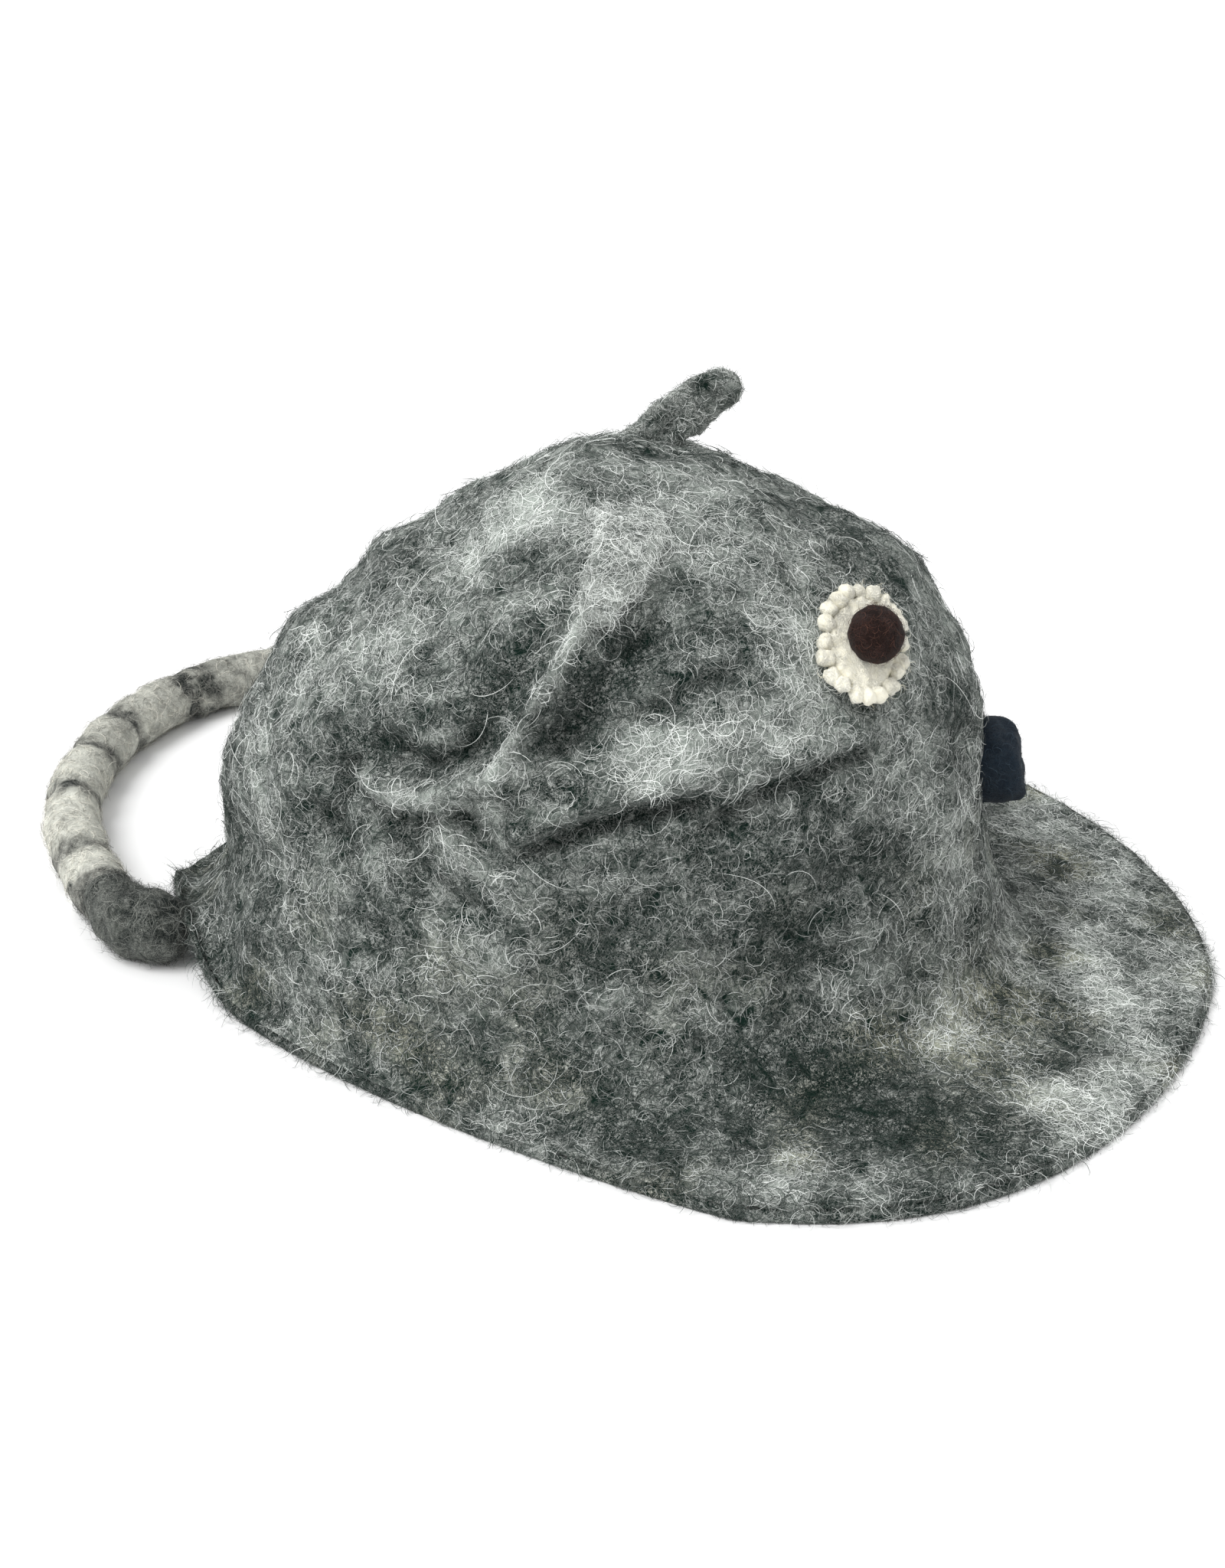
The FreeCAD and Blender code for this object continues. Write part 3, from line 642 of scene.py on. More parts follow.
def folded(points, normals, folds):
    """How far each point moves out and its painted shade or highlight: for every fold, the distance to
    its line gives a bell curve, and the swellings are bell curves beside it on one side or the other."""
    moved, painted_fold_shading = np.zeros(len(points)), np.zeros(len(points))
    for line, width, push, above, below, tone in folds:
        line = np.array(line, float)
        width, push, above, below = (size / 1000 for size in (width, push, above, below))
        stops = np.linspace(0, len(line) - 1, fold_steps)
        angles, heights = (np.interp(stops, np.arange(len(line)), line[:, i]) for i in (0, 1))
        path = crown_at(np.radians(angles), heights / 1000)
        path[1:-1] = (path[:-2] + path[1:-1] * 2 + path[2:]) / 4
        ahead = np.gradient(path, axis=0)
        ahead /= np.linalg.norm(ahead, axis=1, keepdims=True)
        spread = np.linalg.norm(path - path.mean(0), axis=1).max() + 5 * width
        which = np.flatnonzero(((points - path.mean(0)) ** 2).sum(1) < spread**2)
        apart = points[which, None] - path[None]
        closest = (apart**2).sum(-1).argmin(1)
        apart = apart[np.arange(len(which)), closest]
        over = np.cross(normals[which], ahead[closest])
        beside = (apart * over).sum(-1)
        away = np.linalg.norm(apart, axis=1)
        beyond = np.sqrt(np.maximum(away**2 - beside**2, 0))
        from_end = np.minimum(closest, fold_steps - 1 - closest)
        taper = np.exp(-((beyond / width) ** 2)) * np.clip(from_end / 12 + 0.45, 0, 1)
        bell = np.exp(-((beside / width) ** 2)) * taper
        change = -push * bell
        change += above * np.exp(-(((beside - 1.9 * width) / (1.5 * width)) ** 2)) * taper
        change += below * np.exp(-(((beside + 1.9 * width) / (1.5 * width)) ** 2)) * taper
        moved[which] += change
        # Painted shade along the fold's line; a negative tone paints a highlight there instead.
        painted_fold_shading[which] -= fold_shade * tone * bell
    return moved, painted_fold_shading


def outward_normals(rings):
    """The normals of a grid of closed rings, from the differences across and down it, turned so
    that they point away from the dome's axis."""
    across = np.roll(rings, -1, 1) - np.roll(rings, 1, 1)
    normal = np.cross(across, np.gradient(rings, axis=0))
    normal /= np.maximum(np.linalg.norm(normal, axis=-1, keepdims=True), 1e-12)
    aside = (normal[..., :2] * (rings[..., :2] - np.array([0, crown_centre_y]))).sum()
    return normal if aside > 0 else -normal


def slow_lumps(points):
    """The long waviness that both faces of the felt share."""
    return 0.0016 * drift(points, 0.075, 30) + 0.0009 * drift(points, 0.030, 31)


outer_normal = outward_normals(outer)
outer_normal[:3] = (0, 0, 1)
flat_outer, flat_normal = outer.reshape(-1, 3), outer_normal.reshape(-1, 3)
moved, painted_fold_shading = folded(flat_outer, flat_normal, FOLDS)
# Eyes and nose are sewn on flat felt, so the slumping stops round them: angle, height in mm, radius.
SEATS = [(37.5, 108.0, 0.019), (0.0, 60.0, 0.016), (-48.0, 91.0, 0.019)]
calm = np.ones(len(flat_outer))
for angle, height, wide in SEATS:
    seat = crown_at(np.array(math.radians(angle)), np.array(height / 1000))
    calm *= 1 - np.exp(-((np.linalg.norm(flat_outer - seat, axis=1) / wide) ** 4))
small_lumps = 0.00022 * drift(flat_outer, 0.009, 32) + 0.00013 * drift(flat_outer, 0.0045, 33)
moved = (moved + (slow_lumps(flat_outer) + small_lumps)) * calm
above_brim = np.clip((flat_outer[:, 2] - 0.006) / 0.02, 0.0, 1.0)
moved = moved * (0.22 + 0.78 * above_brim)
outer = (flat_outer + flat_normal * moved[:, None]).reshape(outer.shape)

# The inside slumps with the outside: it moves as the outer points over it would.
twin_z = np.clip(inner_z * crown_height / (crown_height - felt_thickness), 0, crown_height * 0.9995)
twin = crown_at(around[None], twin_z[:, None])
twin_normal = outward_normals(twin)
twin_normal[-2:] = (0, 0, 1)
flat_twin, flat_twin_normal = twin.reshape(-1, 3), twin_normal.reshape(-1, 3)
inner_moved = folded(flat_twin, flat_twin_normal, FOLDS)[0] + slow_lumps(flat_twin)
inner_moved *= np.clip(flat_twin[:, 2] / 0.02, 0, 1)
inner = inner + (flat_twin_normal * inner_moved[:, None]).reshape(inner.shape)

skin_rings = np.concatenate([outer, edge, under, inner])
skin_rings[..., 2] = np.maximum(skin_rings[..., 2], 0.0002)
skin = skin_of_rings("felt_skin", skin_rings)

# Where the tone is made lighter or darker: the middle of a patch and how far it reaches, both (x, y, z)
# in mm, and how much lighter or, below 0, darker it is there. One of them is a painted highlight.
patch_strength = 1.2
PATCHES = [
    # the crown's right side, from the back to the front
    ((-25, 38, 134), (16, 16, 14), 0.28), ((-38, 52, 124), (14, 16, 12), 0.25),
    ((-49, 70, 106), (20, 16, 9), 0.26), ((-42, 93, 88), (20, 10, 12), 0.22),
    ((-47, 103, 64), (20, 9, 14), 0.25), ((-60, 97, 46), (20, 12, 9), 0.22),
    ((-74, 76, 49), (20, 10, 8), 0.20), ((-40, 40, 129), (14, 9, 7), -0.28),
    ((-55, 54, 113), (18, 14, 9), -0.24), ((-69, 34, 106), (18, 12, 14), -0.32),
    ((-64, 74, 86), (20, 14, 7), -0.30), ((-66, 11, 110), (14, 8, 12), -0.34),
    ((-64, -2, 110), (16, 10, 9), -0.26), ((-78, 16, 89), (14, 8, 9), -0.14),
    ((-18, -6, 134), (16, 12, 10), 0.22), ((-47, -28, 116), (16, 12, 14), 0.22),
    ((-61, -29, 99), (18, 14, 8), 0.24), ((-71, -10, 94), (16, 12, 7), 0.26),
    ((10, -20, 131), (24, 16, 12), -0.22), ((-4, -46, 121), (16, 12, 16), -0.18),
    ((-76, -19, 65), (16, 18, 9), -0.28), ((-83, 3, 47), (16, 18, 9), -0.26),
    ((-60, -50, 56), (18, 14, 12), -0.22), ((-84, 10, 60), (14, 12, 8), 0.16),
    ((-28, -74, 37), (14, 10, 18), 0.30), ((-81, 51, 66), (16, 10, 8), 0.18),
    ((-81, 60, 47), (16, 12, 9), -0.22), ((-85, 39, 38), (16, 14, 8), 0.15),
    ((-86, 23, 38), (14, 12, 7), -0.18), ((-83, -2, 27), (16, 16, 7), 0.16),
    ((-72, -33, 32), (16, 16, 9), -0.16), ((-60, -50, 30), (16, 12, 8), 0.20),
    # The patch at (-76, -2, 88) is a painted highlight: the lit band above the long crease.
    ((-76, -2, 88), (12, 12, 6), 0.24), ((-64, 44, 120), (10, 10, 5), 0.18),
    ((-80, 22, 84), (10, 10, 4), -0.22),
    # the brim's right side and the visor
    ((-80, -20, 10), (14, 16, 12), -0.32), ((-85, -42, 9), (12, 18, 10), -0.36),
    ((-95, -71, 8), (12, 20, 10), -0.40), ((-58, -78, 10), (18, 14, 12), 0.32),
    ((-83, -104, 8), (12, 12, 8), 0.06), ((18, -104, 8), (30, 8, 8), -0.28),
    ((15, -134, 8), (28, 8, 8), -0.25), ((-59, -101, 8), (14, 7, 8), -0.25),
    ((-22, -115, 8), (26, 10, 8), 0.16), ((-122, -37, 6), (7, 26, 8), 0.16),
    ((-107, 2, 8), (12, 14, 10), -0.20), ((-89, 20, 10), (10, 12, 10), 0.15),
    ((-79, 53, 10), (12, 14, 10), -0.20), ((-71, 81, 8), (14, 14, 10), 0.20),
    ((-47, 108, 8), (16, 16, 12), -0.25), ((-55, -127, 8), (16, 10, 8), 0.16),
    ((-130, -16, 4), (6, 26, 8), -0.25), ((63, -94, 8), (20, 12, 8), -0.20),
    ((-10, -98, 10), (12, 5, 8), -0.30), ((-30, -104, 10), (12, 6, 8), -0.30),
    ((-46, -110, 8), (10, 8, 8), -0.26), ((-2, -110, 8), (18, 5, 8), 0.24),
    ((-26, -119, 8), (12, 5, 8), 0.22), ((-66, -112, 8), (10, 8, 8), 0.10),
    ((-90, -88, 8), (8, 10, 8), 0.08), ((-38, -131, 8), (14, 5, 8), -0.20),
    ((-84, -86, 8), (6, 7, 8), -0.24),
    # the back, the top and the left side
    ((20, 118, 60), (18, 12, 26), 0.22), ((-8, 122, 40), (14, 12, 14), -0.20),
    ((48, 90, 90), (18, 16, 14), -0.26), ((66, 62, 70), (16, 18, 12), 0.24),
    ((78, 30, 96), (18, 16, 10), -0.24), ((84, 20, 50), (14, 26, 10), 0.20),
    ((80, -16, 76), (16, 14, 12), -0.24), ((70, -34, 40), (16, 18, 10), 0.22),
    ((40, 40, 132), (18, 18, 12), 0.20), ((52, 74, 24), (18, 20, 12), -0.22),
    ((100, 10, 8), (12, 30, 10), -0.26), ((112, -50, 8), (12, 22, 8), 0.22),
    ((88, -92, 8), (18, 14, 8), 0.20), ((46, 116, 8), (18, 14, 10), 0.18),
    ((30, -68, 60), (14, 12, 20), 0.18),
]
flat_skin = skin_rings.reshape(-1, 3)
on_visor = np.clip((-0.088 - flat_skin[:, 1]) / 0.012, 0, 1)
painted_light_on_top = np.clip((flat_skin[:, 2] - 0.095) / 0.03, 0, 1)
painted_shade_low = np.clip((0.040 - flat_skin[:, 2]) / 0.02, 0, 1)
behind_visor = np.clip((flat_skin[:, 1] + 0.092) / 0.012, 0, 1)
tone = 0.255 + 0.22 * on_visor
# The top of the crown is painted lighter, as painted light from above, and the brim and the wall's foot
# behind the visor darker, as painted shade.
tone += 0.07 * painted_light_on_top
tone -= 0.10 * painted_shade_low * behind_visor
for middle, reach, lighter in PATCHES:
    apart = ((flat_skin * 1000 - np.array(middle)) / np.array(reach)) ** 2
    tone += patch_strength * lighter * np.exp(-apart.sum(1))
tone += 0.08 * drift(flat_skin, 0.034, 40) + 0.08 * drift(flat_skin * np.array((1, 1, 1.8)), 0.014, 41)
tone += 0.09 * drift(flat_skin, 0.0075, 43)
# The folds' painted shade in the hollows and painted highlights on the ridges.
tone[: len(painted_fold_shading)] += painted_fold_shading
edge_start, edge_stop = len(flat_outer), len(flat_outer) + roll_rows * columns
# The brim's rounded edge is painted darker, as painted shade where it turns down to the table, and the
# underside and the inside a little darker, as painted shade.
tone[edge_start:edge_stop] -= 0.16
tone[edge_stop:] -= 0.05
mark(skin, "tone", np.append(tone, [0.4, 0.4]))
# Low down the wool is creamy in places, most of all where the brim runs out into the visor.
cream = np.clip(0.5 * drift(flat_skin, 0.030, 42) - 0.10, 0, 1) * np.clip(1.2 - flat_skin[:, 2] / 0.05, 0, 1)
creamy_middle, creamy_reach = np.array((-52, -84, 10)), np.array((30, 18, 12))
cream += 0.8 * np.exp(-(((flat_skin * 1000 - creamy_middle) / creamy_reach) ** 2).sum(1))
mark(skin, "cream", np.clip(np.append(cream, [0, 0]), 0, 1))

dark_wool = dye(7, 31, 24)
grey_felt = felt_finish("grey_wool_felt", dark_wool, dye(168, 176, 169), dye(229, 233, 228), "tone",
                        mottle=0.84, hair=0.68, hair_scale=360.0, depth=0.0008)
nodes, links = grey_felt.node_tree.nodes, grey_felt.node_tree.links
wool = next(node for node in nodes if node.type == "GROUP")
cream_reader = nodes.new("ShaderNodeAttribute")
cream_reader.attribute_name = "cream"
cream_stain = nodes.new("ShaderNodeMix")
cream_stain.data_type = "RGBA"
cream_stain.blend_type = "MULTIPLY"
cream_stain.inputs[7].default_value = (1.06, 1.0, 0.83, 1)
links.new(cream_reader.outputs["Fac"], cream_stain.inputs[0])
links.new(wool.outputs["Colour"], cream_stain.inputs[6])
links.new(cream_stain.outputs[2], nodes["Principled BSDF"].inputs["Base Color"])
skin.data.materials.append(grey_felt)
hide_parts("crown", "visor")
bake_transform(skin)

# The wall is what lies above its foot and behind the visor's line; a line down the hat parts it in two.
wall_foot, visor_line, parting_line = 0.016, -0.084, -0.012


def over_skin(middle, outward):
    """True for the felt's outer faces and false for its inside and underside."""
    aside = (outward[:, :2] * (middle[:, :2] - np.array((0, crown_centre_y)))).sum(-1)
    return (outward[:, 2] > 0.35) | ((aside > 0) & (outward[:, 2] > -0.6))


def on_wall(middle):
    """True above the wall's foot and behind the visor's line."""
    return (middle[:, 2] > wall_foot) & (middle[:, 1] > visor_line)


def right_wall(middle, outward):
    """Outer faces of the wall, to the right of the parting line."""
    return over_skin(middle, outward) & on_wall(middle) & (middle[:, 0] < parting_line)


def left_wall(middle, outward):
    """Outer faces of the wall, to the left of the parting line."""
    return over_skin(middle, outward) & on_wall(middle) & (middle[:, 0] >= parting_line)


def low_felt(middle, outward):
    """Outer faces of the brim, the visor and the wall's foot."""
    return over_skin(middle, outward) & ~on_wall(middle)


def lining(middle, outward):
    """The dome's inside, above the table."""
    return ~over_skin(middle, outward) & (middle[:, 2] > 0.004)


def wool_shade(tone, rng):
    """Pale hairs where the skin's tone is light; where it is dark, from dark wool or painted shade, most are
    darker, and a few stay pale.
    """
    pale = rng.uniform(size=len(tone)) < 0.14 + 0.95 * tone
    shade = np.where(pale, rng.uniform(0.40, 1.0, len(tone)), rng.uniform(0.0, 0.18, len(tone)))
    return shade * (0.52 + 0.9 * tone)


def pale_shade(tone, rng):
    """Nearly white, whatever lies under it."""
    return rng.uniform(0.8, 1.0, len(tone))


grey_hairs = hair_finish("grey_wool_hairs", dark_wool, dye(251, 255, 251))


def coat(name, count, seed, where, body=None, **how):
    """One coat of the skin's own hairs. It rides on its body or, with none, stays where it is made."""
    how = {"curl": (0.0016, 0.006), "lift": 0.00028, "wild": 0.02, "shade": wool_shade, **how}
    hairs = loose_hairs(name, skin, count, seed, keep=where, **how)
    hairs.data.materials.append(grey_hairs)
    if body:
        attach(hairs, body)
    else:
        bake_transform(hairs)


full_coat = 19500
coat("crown_hairs_right", full_coat, 50, right_wall, "hat", length=(0.004, 0.010), width=0.00014)
coat("crown_hairs_right_fine", full_coat, 51, right_wall, "hat", length=(0.003, 0.006), width=0.00012)
coat("crown_hairs_left", full_coat, 52, left_wall, "hat", length=(0.004, 0.010), width=0.00016)
coat("brim_hairs", full_coat, 53, low_felt, length=(0.003, 0.009), width=0.00014)
coat("brim_hairs_fine", full_coat, 54, low_felt, length=(0.003, 0.006), width=0.00012)
coat("stray_hairs", 80, 55, right_wall, "hat", length=(0.012, 0.024), width=0.00011, curl=(0.004, 0.014),
     lift=0.0008, wild=0.4, shade=pale_shade, steps=10)
coat("lining_hairs", 6000, 56, lining, length=(0.004, 0.009), width=0.00013)


# ---- The ears ----
# Two narrow felt tongues with round tips, worked into the top of the crown at their roots. The left
# one stands and leans forward; the right one has flopped and lies down over the crown's side.


def on_skin(angle, height):
    """A point of the slumped skin and its outward normal, at an angle in degrees and a height in mm."""
    column = int(round(math.radians(angle % 360) / (2 * math.pi) * columns)) % columns
    row = int(np.abs(wall_z[:, column] - height / 1000).argmin())
    patch = [outer[max(row + down, 0), (column + along) % columns]
             for down in (-3, 0, 3) for along in (-3, 0, 3)]
    normal = outer_normal[max(row, 3), column]
    return np.mean(patch, 0), normal / np.linalg.norm(normal)


ear_rings, ear_columns = 60, 44


def tongue(name, line, sides, faces, widths, thicks, seed, tone_middle):
    """A felt tongue along a line: each ring is a flattened oval across the line's side and face
    directions, whose half-width and half-thickness draw to nothing at the round tip."""
    stops = np.linspace(0, 1, len(line))
    fine = np.linspace(0, 1, ear_rings)

    def between(values):
        return np.stack([np.interp(fine, stops, np.asarray(values, float)[:, i]) for i in range(3)], -1)

    centre = between(line)
    for _ in range(6):
        centre[1:-1] = (centre[:-2] + 2 * centre[1:-1] + centre[2:]) / 4
    side, face = between(sides), between(faces)
    side /= np.linalg.norm(side, axis=1, keepdims=True)
    face /= np.linalg.norm(face, axis=1, keepdims=True)
    wide, thick = np.interp(fine, stops, widths), np.interp(fine, stops, thicks)
    gone = np.concatenate([[0], np.cumsum(np.linalg.norm(np.diff(centre, axis=0), axis=1))])
    left = gone[-1] - gone
    tip = np.sqrt(np.clip(1 - np.clip(1 - left / wide[-1], 0, 1) ** 2, 0.0008, 1))
    turn = np.linspace(0, 2 * math.pi, ear_columns, endpoint=False)
    across = np.sign(np.cos(turn)) * np.abs(np.cos(turn)) ** 0.85
    through = np.sign(np.sin(turn)) * np.abs(np.sin(turn)) ** 0.85 * (1 - 0.22 * (1 - np.abs(across) ** 2))
    rings = (centre[:, None] + side[:, None] * (wide * tip)[:, None, None] * across[None, :, None]
             + face[:, None] * (thick * tip**0.6)[:, None, None] * through[None, :, None])
    swell = 0.0003 * drift(rings, 0.009, seed) + 0.00012 * drift(rings, 0.004, seed + 1)
    away = rings - centre[:, None]
    away /= np.maximum(np.linalg.norm(away, axis=-1, keepdims=True), 1e-6)
    rings = rings + away * (swell * tip[:, None])[..., None]
    ear = skin_of_rings(name, rings)
    # The tongue's edges are painted lighter, a painted highlight.
    edge_highlight = np.abs(across) ** 6
    tone = tone_middle + 0.16 * edge_highlight[None] * np.ones((ear_rings, 1)) + 0.09 * drift(rings, 0.007, seed + 2)
    mark(ear, "tone", np.append(tone.ravel(), [tone_middle, tone_middle]))
    return ear


# The left ear rises straight out of the crown, leaning forward and a little outward. Its stations:
# how far along that line, how far it bows up off it, half its width and half its thickness.
lean, tilt = math.radians(52), math.radians(5)
forward, outside = np.array((0, -1.0, 0)), np.array((math.sin(tilt), 0, math.cos(tilt)))
ahead = math.sin(lean) * forward + math.cos(lean) * outside
crosswise = -math.cos(lean) * forward + math.sin(lean) * outside
left_root = np.array((0.0305, 0.0082, 0.1387))
LEFT_STATIONS = np.array([
    (-0.0090, 0.0000, 0.0100, 0.0046), (-0.0040, 0.0000, 0.0092, 0.0040), (0.0010, 0.0000, 0.0078, 0.0032),
    (0.0060, 0.0003, 0.0068, 0.0028), (0.0120, 0.0005, 0.0062, 0.0026), (0.0175, 0.0003, 0.0054, 0.0025),
    (0.0228, -0.0004, 0.0044, 0.0023),
])
reach, bow, left_wide, left_thick = LEFT_STATIONS.T
left_line = left_root + ahead * reach[:, None] + crosswise * bow[:, None]
level = np.array((0, 1.0, 0))
left_sides = [level, level, 0.6 * level + 0.4 * crosswise] + [crosswise] * 4
left_face = np.array((math.cos(tilt), 0, -math.sin(tilt)))
ear_left = tongue("ear_left_felt", left_line, left_sides, [left_face] * len(reach), left_wide, left_thick,
                  seed=60, tone_middle=0.26)

# The right ear lies on the crown. Its stations: angle, height in mm, and in metres how far its middle
# stands off the skin, half its width and half its thickness.
RIGHT_STATIONS = [
    (60, 137.5, -0.0030, 0.0105, 0.0026), (64, 135.0, -0.0008, 0.0098, 0.0030),
    (69, 132.5, 0.0004, 0.0088, 0.0034), (74, 129.0, 0.0012, 0.0078, 0.0036),
    (78, 125.0, 0.0016, 0.0066, 0.0035), (81, 121.0, 0.0016, 0.0054, 0.0031),
    (83, 117.0, 0.0008, 0.0044, 0.0026),
]
angles, heights, rises, right_wide, right_thick = zip(*RIGHT_STATIONS)
spots = [on_skin(angle, height) for angle, height in zip(angles, heights)]
right_line = np.array([point + normal * rise for (point, normal), rise in zip(spots, rises)])
right_faces = np.array([normal for _, normal in spots])
right_sides = np.cross(right_faces, np.gradient(right_line, axis=0))
# The right ear's light tone is partly its paler wool and partly painted highlight.
ear_right = tongue("ear_right_felt", right_line, right_sides, right_faces, right_wide, right_thick,
                   seed=64, tone_middle=0.66)

ear_felt = felt_finish("ear_wool_felt", dark_wool, dye(176, 182, 176), dye(232, 235, 230), "tone",
                       mottle=0.75, hair=0.66, hair_scale=380.0, depth=0.0008)
for ear, body, seed, count, longest in ((ear_left, "ear_left", 66, 2400, 0.0035),
                                        (ear_right, "ear_right", 67, 3600, 0.0070)):
    dress(ear, ear_felt, body, "ear_felt", body)
    fluff = loose_hairs(body + "_hairs", ear, count, seed, length=(longest / 3, longest), width=0.00012,
                        lift=0.0002, wild=0.02, shade=wool_shade)
    dress(fluff, grey_hairs, body, "ear_felt")


# ---- The eyes ----
# Each is an oval of ivory felt with a frill of soft bobbles round it and a dark brown felt ball for
# its pupil, all held by one thread that is knotted inside the crown.


def seat_frame(angle, height, tilt_back=0.0):
    """A place on the crown as a point, a long direction (up, tilted back), a short one and the normal."""
    angle = math.radians(angle)
    step = 0.01
    here = crown_at(np.array([angle, angle - step, angle + step, angle, angle]),
                    np.array([height, height, height, height - 1, height + 1]) / 1000)
    normal = np.cross(here[4] - here[3], here[2] - here[1])
    normal /= np.linalg.norm(normal)
    up = np.array((0, 0, 1.0)) - normal * normal[2]
    up /= np.linalg.norm(up)
    backward = np.cross(normal, up) * (1 if angle < 0 else -1)
    turn = math.radians(tilt_back)
    long = up * math.cos(turn) + backward * math.sin(turn)
    return here[0], long, np.cross(normal, long), normal


def grid_faces(rows, columns_round):
    """The faces of one closed skin whose points are a grid of rings and then its first and last poles."""
    index = np.arange(rows * columns_round).reshape(rows, columns_round)
    beside = np.roll(index, -1, 1)
    quads = np.stack([index[:-1], index[1:], beside[1:], beside[:-1]], -1).reshape(-1, 4)
    first, last = rows * columns_round, rows * columns_round + 1
    fans = np.concatenate([np.stack([np.full(columns_round, first), index[0], beside[0]], -1),
                           np.stack([np.full(columns_round, last), beside[-1], index[-1]], -1)])
    return quads, fans


def lumpy_balls(name, centres, frames, radii, seed, rough_size, rough_depth, rows=9, columns_round=14):
    """Soft balls: for each centre a grid of latitudes and longitudes over an ellipsoid of its radii,
    with smooth waviness added along the radius."""
    centres, radii = np.atleast_2d(centres), np.atleast_2d(radii)
    latitude = np.linspace(0, math.pi, rows + 2)[1:-1, None]
    turn = np.linspace(0, 2 * math.pi, columns_round, endpoint=False)
    unit = (np.sin(latitude) * np.cos(turn), np.sin(latitude) * np.sin(turn), np.cos(latitude) + 0 * turn)
    unit = np.concatenate([np.stack(unit, -1).reshape(-1, 3), [(0, 0, 1.0), (0, 0, -1.0)]])
    shape = (unit[None] * radii[:, None]) @ np.asarray(frames)
    bump = 1 + rough_depth * drift(centres[:, None] + shape, rough_size, seed)
    points = centres[:, None] + shape * bump[..., None]
    quads, fans = grid_faces(rows, columns_round)
    offset = np.arange(len(points))[:, None, None] * points.shape[1]
    return put_together(name, points, quads[None] + offset, fans[None] + offset)


ivory_wool = felt_finish("ivory_wool_felt", dye(196, 186, 148), dye(255, 253, 240), dye(255, 254, 246), 0.80,
                         mottle=0.30, hair=0.35, hair_scale=620.0, depth=0.0005, sheen=0.15)
brown_felt = felt_finish("pupil_brown_felt", dye(10, 5, 4), dye(64, 40, 34), dye(92, 60, 52), 0.22,
                         mottle=0.35, hair=0.30, hair_scale=620.0, depth=0.0004)
ivory_hairs = hair_finish("ivory_hairs", dye(236, 230, 205), dye(255, 255, 248))
brown_hairs = hair_finish("brown_hairs", dye(24, 12, 10), dye(96, 66, 56))
thread_finish = felt_finish("dark_sewing_thread", dye(14, 14, 16), dye(60, 60, 64), dye(80, 80, 84), 0.3,
                            mottle=0.3, hair=0.3, hair_scale=900.0, depth=0.0001, rough=0.6)
thread_radius, ply_radius, thread_twists, thread_sides = 0.00036, 0.00032, 9, 7
knot_radius, knot_height = 0.0014, 0.0011


def sewn_thread(name, node, place, normal, depth, out):
    """A two-ply thread: two strands twisted about the line through the felt, and at its inner end a
    knot, where the line winds over a small ball three times one way while it turns twice the other."""
    part = np.linspace(0, 1, 90)
    side = np.cross(normal, (0.3, 0.2, 0.9))
    side /= np.linalg.norm(side)
    other = np.cross(normal, side)
    shank = place + normal * (-depth + (depth + out) * part)[:, None]
    lines = []
    for ply in (0.0, math.pi):
        wind = (2 * math.pi * thread_twists * part + ply)[:, None]
        lines.append(shank + ply_radius * (side * np.cos(wind) + other * np.sin(wind)))
    wind = 2 * math.pi * part[:, None]
    lines.append(place - normal * depth + side * np.cos(3 * wind) * (1 + 0.3 * np.cos(2 * wind)) * knot_radius
                 + other * np.sin(3 * wind) * knot_radius + normal * np.sin(2 * wind + 0.4) * knot_height)
    points, quads, fans, base = [], [], [], 0
    for line in lines:
        rings, _, _ = tube_round(line, lambda gone: np.full_like(gone, thread_radius), thread_sides,
                                 len(line), seed=1, rough_size=0.01, rough_depth=0.0)
        points += [rings.reshape(-1, 3), rings[0].mean(0)[None], rings[-1].mean(0)[None]]
        strand_quads, strand_fans = grid_faces(len(rings), thread_sides)
        quads.append(base + strand_quads)
        fans.append(base + strand_fans)
        base += len(rings) * thread_sides + 2
    thread = put_together(name, np.concatenate(points), np.concatenate(quads), np.concatenate(fans))
    dress(thread, thread_finish, "hat", "sewing_thread", node)


def over_ring(place, long, short, normal, radii, turn, reach, high):
    """Rings over an oval: each is the oval's outline times its reach, at its height along the normal."""
    return (place + long * (radii[0] * np.cos(turn))[None, :, None] * reach[:, None, None]
            + short * (radii[1] * np.sin(turn))[None, :, None] * reach[:, None, None]
            + normal * high[..., None])


eye_long, eye_short, bobble_count = 0.0128, 0.0096, 20
eye_tilt, pupil_out, thread_inside, eye_thread_outside = 38.0, 0.0082, 0.0067, 0.0080
disc_turn = np.linspace(0, 2 * math.pi, 120, endpoint=False)
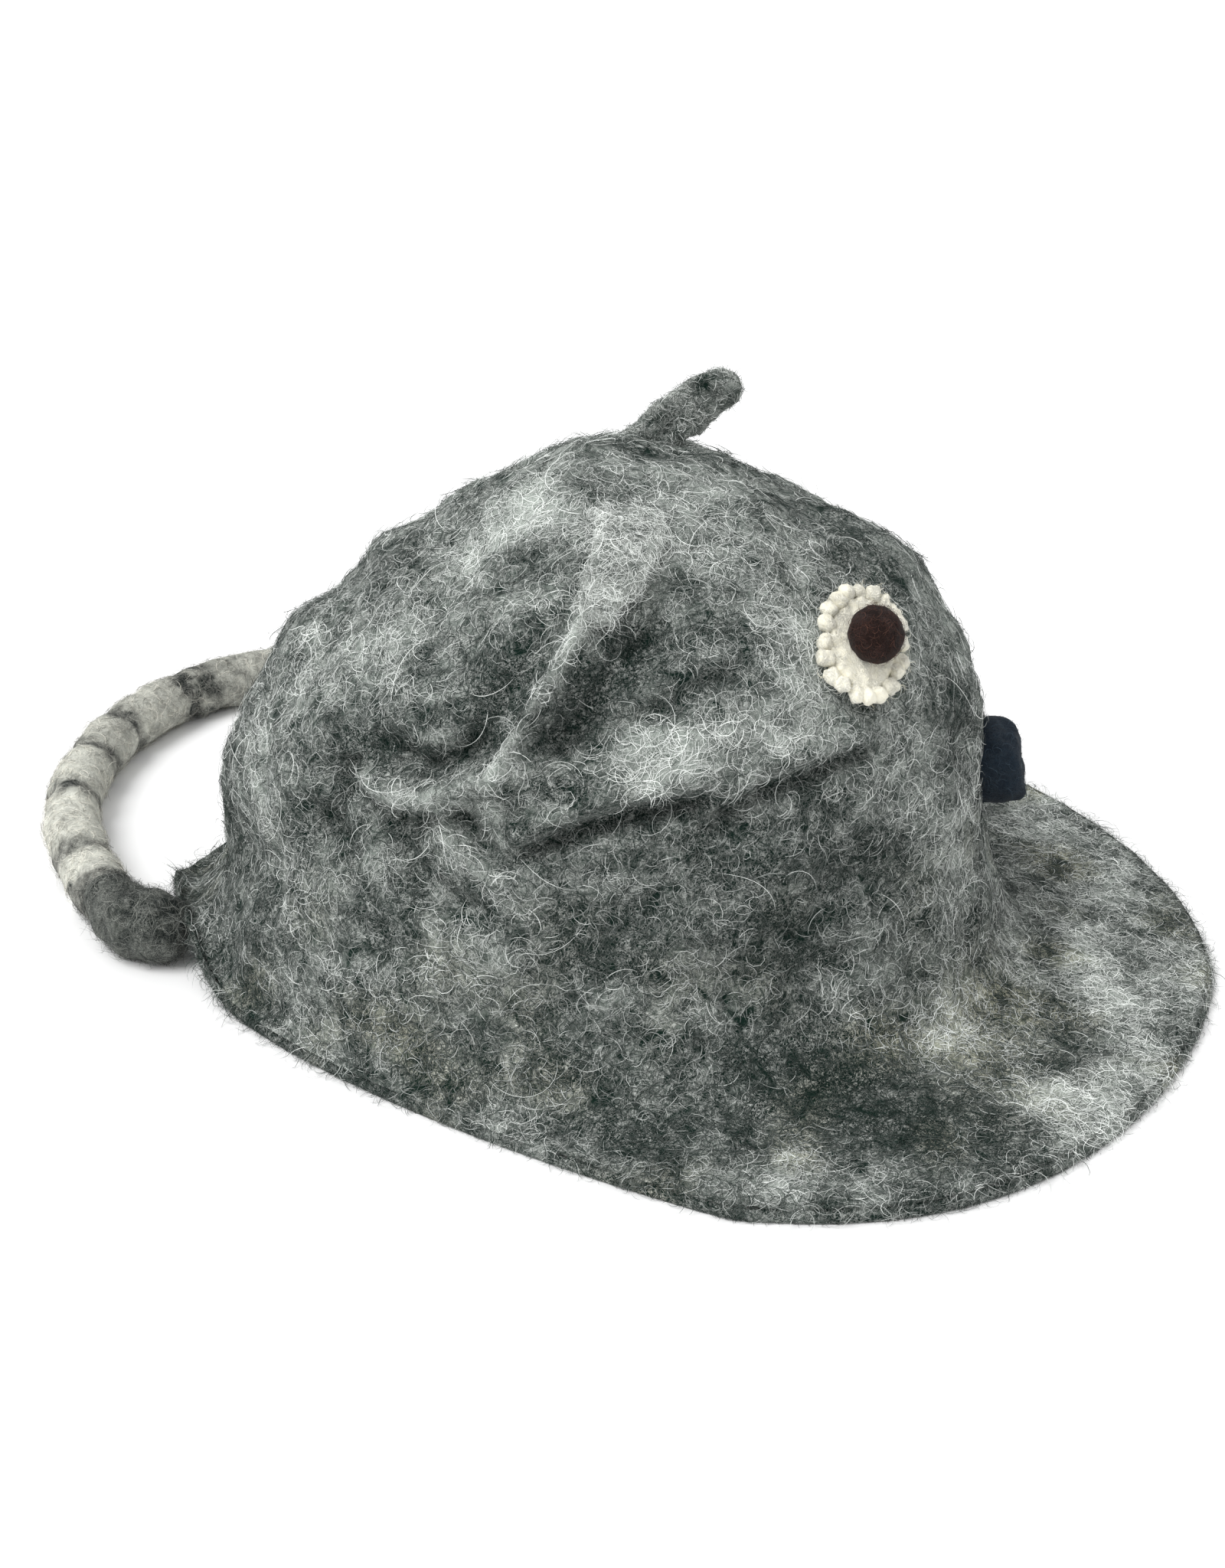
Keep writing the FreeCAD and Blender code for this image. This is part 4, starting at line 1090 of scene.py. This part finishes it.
# The disc: out over its face in rings, round its wavy rim, and back under it.
face_rings, under_rings = 12, 6
disc_reach = np.concatenate([np.linspace(0.08, 0.94, face_rings), [0.985, 1.0, 0.985],
                             np.linspace(0.92, 0.1, under_rings)])
disc_high = np.concatenate([0.0040 - 0.0008 * np.linspace(0, 1, face_rings) ** 2, [0.0027, 0.0019, 0.0010],
                            np.full(under_rings, 0.0004)])
frill = 1 + 0.015 * np.cos(bobble_count * disc_turn) + 0.02 * np.cos(3 * disc_turn + 1.0)
ripple = np.clip(disc_reach - 0.6, 0, 1)[:, None] * 0.0004 * np.cos(bobble_count * disc_turn + 0.6)
ripple = ripple * (np.arange(len(disc_reach)) <= face_rings)[:, None]
for side, angle, height, seed in (("right", 37.5, 108.0, 70), ("left", -48.0, 91.0, 80)):
    place, long, short, normal = seat_frame(angle, height, eye_tilt)
    disc_rings = over_ring(place, long, short, normal, (eye_long * frill, eye_short * frill), disc_turn,
                           disc_reach, disc_high[:, None] + ripple)
    disc_rings = disc_rings + normal * (0.00018 * drift(disc_rings, 0.0035, seed))[..., None]
    disc = skin_of_rings("eye_disc_" + side + "_felt", disc_rings)
    dress(disc, ivory_wool, "hat", "ivory_wool", "eye_disc_" + side)

    rng = np.random.default_rng(seed + 1)
    bobble_turn = np.arange(bobble_count) + rng.uniform(-0.16, 0.16, bobble_count)
    bobble_turn = 2 * math.pi * bobble_turn / bobble_count
    out_by = rng.uniform(0.0008, 0.0018, bobble_count)
    centres = (place + long * ((eye_long + out_by) * np.cos(bobble_turn))[:, None]
               + short * ((eye_short + out_by) * np.sin(bobble_turn))[:, None]
               + normal * (0.0024 + rng.uniform(-0.0004, 0.0006, bobble_count))[:, None])
    sizes = np.stack([rng.uniform(0.0021, 0.0025, bobble_count), rng.uniform(0.0021, 0.0025, bobble_count),
                      rng.uniform(0.0018, 0.0022, bobble_count)], -1)
    bobbles = lumpy_balls("eye_trim_" + side + "_wool", centres, (long, short, normal), sizes, seed + 2,
                          rough_size=0.0022, rough_depth=0.09)
    dress(bobbles, ivory_wool, "hat", "ivory_wool", "eye_trim_" + side)

    pupil = lumpy_balls("pupil_" + side + "_felt", place + normal * pupil_out, (long, short, normal),
                        (0.0071, 0.0069, 0.0063), seed + 3, 0.004, 0.016, rows=30, columns_round=44)
    dress(pupil, brown_felt, "hat", "pupil_felt", "pupil_" + side)

    for name, piece, count, finish, slot in (
            ("eye_hairs_" + side, disc, 260, ivory_hairs, "ivory_wool"),
            ("bobble_hairs_" + side, bobbles, 420, ivory_hairs, "ivory_wool"),
            ("pupil_hairs_" + side, pupil, 420, brown_hairs, "pupil_felt")):
        fluff = loose_hairs(name, piece, count, seed + 5, length=(0.0015, 0.0035), curl=(0.0008, 0.002),
                            width=0.00008, lift=0.0003, wild=0.08,
                            keep=lambda middle, outward, normal=normal: (outward @ normal) > -0.2)
        dress(fluff, finish, "hat", slot)
    sewn_thread("eye_thread_" + side + "_twist", "eye_thread_" + side, place, normal,
                thread_inside, eye_thread_outside)


# ---- The nose ----
# A thick button cut from navy felt, a little flat where it was cut, sewn on through the crown.

nose_angle, nose_height, nose_sinks = 0.0, 60.0, 0.0018
place, long, short, normal = seat_frame(nose_angle, nose_height)
place = place - normal * nose_sinks
nose_radius, nose_depth, nose_thread_outside = 0.0112, 0.0118, 0.0072
nose_turn = np.linspace(0, 2 * math.pi, 64, endpoint=False)
# The side bulges a little; then the rim turns over on to the flat face.
side_rings = 16
nose_high = np.concatenate([np.linspace(-0.0012, nose_depth * 0.80, side_rings),
                            nose_depth * np.array([0.88, 0.945, 0.985, 1.0, 1.0, 1.0])])
nose_reach = np.concatenate([0.92 + 0.10 * np.sin(np.linspace(0.2, 2.9, side_rings)),
                             [0.91, 0.86, 0.77, 0.62, 0.4, 0.18]])
facets = 1 + 0.022 * np.cos(5 * nose_turn + 0.7) + 0.016 * np.cos(3 * nose_turn + 2.0)
slope = -0.0016 * np.cos(nose_turn)
nose_rings = over_ring(place, long, short, normal, (nose_radius * facets,) * 2, nose_turn, nose_reach,
                       nose_high[:, None] + (nose_high / nose_depth * nose_reach)[:, None] * slope)
nose_rough = 0.00022 * drift(nose_rings, 0.006, 90)
nose_rings = nose_rings + (nose_rings - place) / nose_radius * nose_rough[..., None]
nose = skin_of_rings("nose_button_felt", nose_rings)
navy_felt = felt_finish("navy_nose_felt", dye(6, 13, 22), dye(44, 60, 74), dye(66, 84, 98), 0.22,
                        mottle=0.35, hair=0.22, hair_scale=620.0, depth=0.0004)
dress(nose, navy_felt, "hat", "nose_felt", "nose")
nose_fluff = loose_hairs("nose_hairs", nose, 700, 92, length=(0.0015, 0.004), curl=(0.0008, 0.002),
                         width=0.00008, lift=0.0003, wild=0.08)
dress(nose_fluff, hair_finish("navy_hairs", dye(10, 18, 28), dye(70, 86, 98)), "hat", "nose_felt")
sewn_thread("nose_thread_twist", "nose_thread", place, normal, thread_inside, nose_thread_outside)
